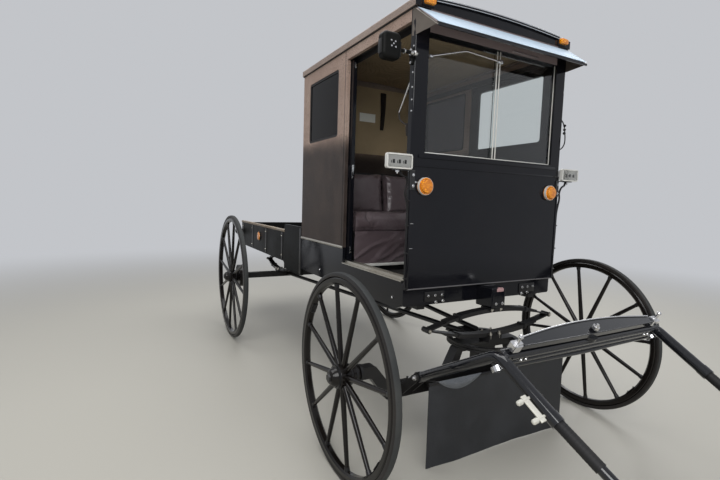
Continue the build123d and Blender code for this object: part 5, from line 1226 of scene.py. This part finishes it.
# Far pillar: a short black tie with three wooden beads hangs from a staple outside it
FAR_TIE = (
    (0.5110, -0.500, 1.715), (0.5180, -0.512, 1.700), (0.5220, -0.522, 1.640), (0.5190, -0.528, 1.590),
    (0.5150, -0.520, 1.560), (0.5110, -0.505, 1.550),
)
TIE_BEAD = ((-0.009, 0), (-0.006, 0.006), (0, 0.0085), (0.006, 0.006), (0.009, 0))
bent("far_pillar_tie", FAR_TIE, 0.0032, black_rubber)
shape = bmesh.new()
for high in (1.640, 1.660, 1.682):
    spun(shape, TIE_BEAD, (0.5205, -0.518, high), UP, steps=16, closed=False)
piece("far_pillar_beads", shape, black_gloss)

# Rear box: an open plywood box in dull black, with worn wooden rails screwed along its sides,
# iron stakes bolted outside, corner irons, and slide bolts that hold the tailgate shut.
BOX_X, GATE_Y, SLIDE_Z = 0.5115, 2.6890, 0.912
STAKES, RAIL_SCREWS = (1.300, 1.760, 2.240, 2.620), (1.290, 1.560, 1.830, 2.100, 2.370, 2.640)
dress(dull_enamel, "rear_box", "tailgate")
dress(rail_wood, "box_rails")
shape, bright = bmesh.new(), bmesh.new()
for side in BOTH:
    for along in STAKES:
        block(shape, (side * BOX_X, along, 0.838), (0.003, 0.030, 0.222), 0.0008)
        for high in (0.760, 0.920):
            bolt(bright, (side * 0.513, along, high), (side, 0, 0), 0.0065, 0.004)
    for along in RAIL_SCREWS:
        screw(bright, (side * 0.500, along, 0.9748), UP, (0.0016, 0.0010, 0.0038, 0.0046))
    block(shape, (side * BOX_X, 0.8750, 0.840), (0.003, 0.034, 0.340), 0.0008)
piece("box_stakes", shape, black_satin)
piece("box_bolts", bright, aluminium)
shape = bmesh.new()
for side in BOTH:
    block(shape, (side * 0.400, GATE_Y + 0.0005, SLIDE_Z), (0.070, 0.003, 0.030), 0.001)
    rod(shape, (side * 0.360, GATE_Y + 0.0055, SLIDE_Z), (side * 0.445, GATE_Y + 0.0055, SLIDE_Z), 0.0045)
    rod(shape, (side * 0.385, GATE_Y + 0.0055, SLIDE_Z), (side * 0.385, GATE_Y + 0.0170, SLIDE_Z), 0.0040)
for across in (-0.300, 0.0, 0.300):
    block(shape, (across, GATE_Y, 0.775), (0.040, 0.003, 0.055), 0.001)
    for high in (0.765, 0.790):
        screw(shape, (across, GATE_Y + 0.0012, high), (0, 1, 0), (0.0022, 0.0014, 0.0040, 0.0048), 10)
piece("tailgate_irons", shape, black_satin, body="tailgate")

# Shafts: bent steel tube in gloss black. Past its collar each is bound with black tape, in turns
# that overlap a little.
COLLAR, BOUND_END = Vector((0.4740, -1.3100, 0.5545)), Vector((0.4573, -1.4600, 0.4714))
TAPE_TURNS, TAPE_LAP = 15, 1.06
dress(bar_enamel, "shaft_left", "shaft_right", "shaft_crossbar", "singletree")
for name, side in SIDES:
    shape = bmesh.new()
    for index in range(TAPE_TURNS):
        start, end = [COLLAR.lerp(BOUND_END, (index + share) / TAPE_TURNS) for share in (0, TAPE_LAP)]
        rod(shape, mirrored(side, start), mirrored(side, end), 0.0188, 0.0198, sides=24)
    piece(f"shaft_binding_{name}", shape, black_rubber, body="shafts")

# Crossbar: a deep bar between the shafts' elbows, with pressed ribs along its front and a rolled
# lower edge. The singletree lies on it, edged with a bright worn strap and bolted through.
DOWN_SLOPE, OVER = Vector((0, -0.8616, -0.5075)), Vector((0, -0.5075, 0.8616))
BAR_MIDDLE, TREE_HALF = Vector((0, -1.076, 0.672)), 0.455
RIB_STOPS, ROLLED_HALF, LOWEST_UNDER = (-0.452, -0.25, 0, 0.25, 0.452), 0.2, -0.02
EDGE_STOPS = (-0.412, -0.28, -0.14, 0, 0.14, 0.28, 0.412)
BAR_RIBS = (
    # over the bar's middle, ahead of it, radius
    (0.024, 0.0210, 0.0050),
    (0.002, 0.0212, 0.0060),
    (-0.024, 0.0195, 0.0085),
    (0.036, -0.0080, 0.0035),
)
COLLAR_RING = ((-0.010, 0.0218), (-0.010, 0.0245), (0.010, 0.0245), (0.010, 0.0218))
STUD_HEAD = ((-0.004, 0), (-0.004, 0.0085), (0.001, 0.0095), (0.005, 0.0070), (0.007, 0))


def on_bar(across, over, ahead=0.0):
    """A place by the crossbar's middle: across, over its top and ahead down its slope."""
    return BAR_MIDDLE + OVER * over + DOWN_SLOPE * ahead + Vector((across, 0, 0))


for index, (over, ahead, radius) in enumerate(BAR_RIBS):
    route = []
    for x in RIB_STOPS:
        rolled = over < LOWEST_UNDER and abs(x) < ROLLED_HALF
        route.append(on_bar(x, over - 0.006 * rolled, ahead + 0.004 * rolled))
    bent(f"crossbar_rib_{index}", route, radius, bar_enamel, "shafts")
shape = bmesh.new()
for side in BOTH:
    for across in (0.405, 0.380):
        bolt(shape, on_bar(side * across, 0.013, 0.022), DOWN_SLOPE, 0.0075, 0.005)
    spun(shape, COLLAR_RING, (side * 0.490, -1.0790, 0.640), (0, 0.80, 1), steps=28)
bolt(shape, on_bar(0, 0.083), OVER, 0.0150, 0.012)
piece("crossbar_bolts", shape, bright_metal, body="shafts")
front_edge = [on_bar(x, 0.0728, 0.0150 - 0.0030 * (x / TREE_HALF) ** 2) for x in EDGE_STOPS]
rear_edge = [on_bar(x, 0.0755, 0.0395 * (x / TREE_HALF) ** 2 - 0.0535) for x in EDGE_STOPS]
bent("singletree_front_edge", front_edge, 0.0024, bar_enamel, "singletree")
bent("singletree_rear_edge", rear_edge, 0.0033, bright_metal, "singletree")
dress(bright_metal, "tree_ferrules")
shape = bmesh.new()
along_slope = Matrix.Rotation(radians(30.5), 3, "X").to_quaternion()
for side in BOTH:
    spun(shape, STUD_HEAD, on_bar(side * 0.440, 0.109), OVER, steps=20, closed=False)
    block(shape, on_bar(side * 0.430, 0.0775), (0.026, 0.020, 0.006), 0.002, along_slope)
piece("trace_stud_heads", shape, bright_metal, body="singletree")

# Holdback bars: flat cream-plated bars beside the shafts, each on two posts with round knobs
ELBOW, KNOB_OUT = Vector((0.490, -1.080, 0.690)), 0.0695
KNOB_CAP = ((-0.002, 0), (-0.002, 0.0078), (0.003, 0.0088), (0.0065, 0.0060), (0.0080, 0))
dress(cream_plate, "holdback_bars")
shape = bmesh.new()
run = (COLLAR - ELBOW).normalized()
outward = Vector((1, 0, -0.2)).normalized()
for side in BOTH:
    for reach in (0.174, 0.244):
        foot = mirrored(side, ELBOW + run * reach + outward * KNOB_OUT)
        spun(shape, KNOB_CAP, foot, mirrored(side, outward), steps=20, closed=False)
piece("holdback_knob_caps", shape, cream_plate, body="shafts")

# Apron: a sheet of rubber cloth, hung from a rod in front of the axle nearly to the floor. Its
# head is turned over the rod, and a loose lens-shaped flap of it hangs forward at the near end,
# its paler blue-grey a painted reflection.
APRON = {"half": 0.460, "low": 0.006, "high": 0.398, "face": -0.656}
FLAP = {"across": -0.285, "half": 0.130, "face": -0.6665, "top": 0.418, "deep": 0.050, "edge": 0.004}
apron_cloth = grained_finish(
    "apron_cloth", (0.013, 0.0145, 0.018), (0.028, 0.030, 0.035), 0.42, 240.0, 0.0003
)
# The flap's paler blue-grey is a painted reflection on the dark rubber.
flap_painted_reflection = grained_finish("flap_painted_reflection", (0.10, 0.11, 0.125), (0.16, 0.17, 0.18), 0.32, 240.0, 0.0003)


def apron_place(across, high):
    """The apron: straight along its rod, in one long shallow wave at its foot."""
    wave = 0.0075 * sin(across * 3.4 + 0.6) + 0.0045 * noise.noise(Vector((across * 3.1, 0, high * 1.2)))
    forward = APRON["face"] + wave * (1 - high) / 2
    return (across * APRON["half"], forward, risen(APRON["low"], APRON["high"], high))


def flap_place(across, high):
    """The flap: deepest at its middle, and bowed forward there."""
    low, round_off = (1 - high) / 2, 1 - across**2
    deep = FLAP["deep"] * round_off + FLAP["edge"]
    forward = FLAP["face"] - 0.010 * sin(low * pi) * round_off
    return (FLAP["across"] + across * FLAP["half"], forward, FLAP["top"] - deep * low)


apron = piece("apron_sheet", sheet_shape(60, 26, 0.0030, apron_place), apron_cloth, body="front_gear")
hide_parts("apron")
flap = piece("apron_flap", sheet_shape(30, 6, 0.0022, flap_place), flap_painted_reflection, body="front_gear")
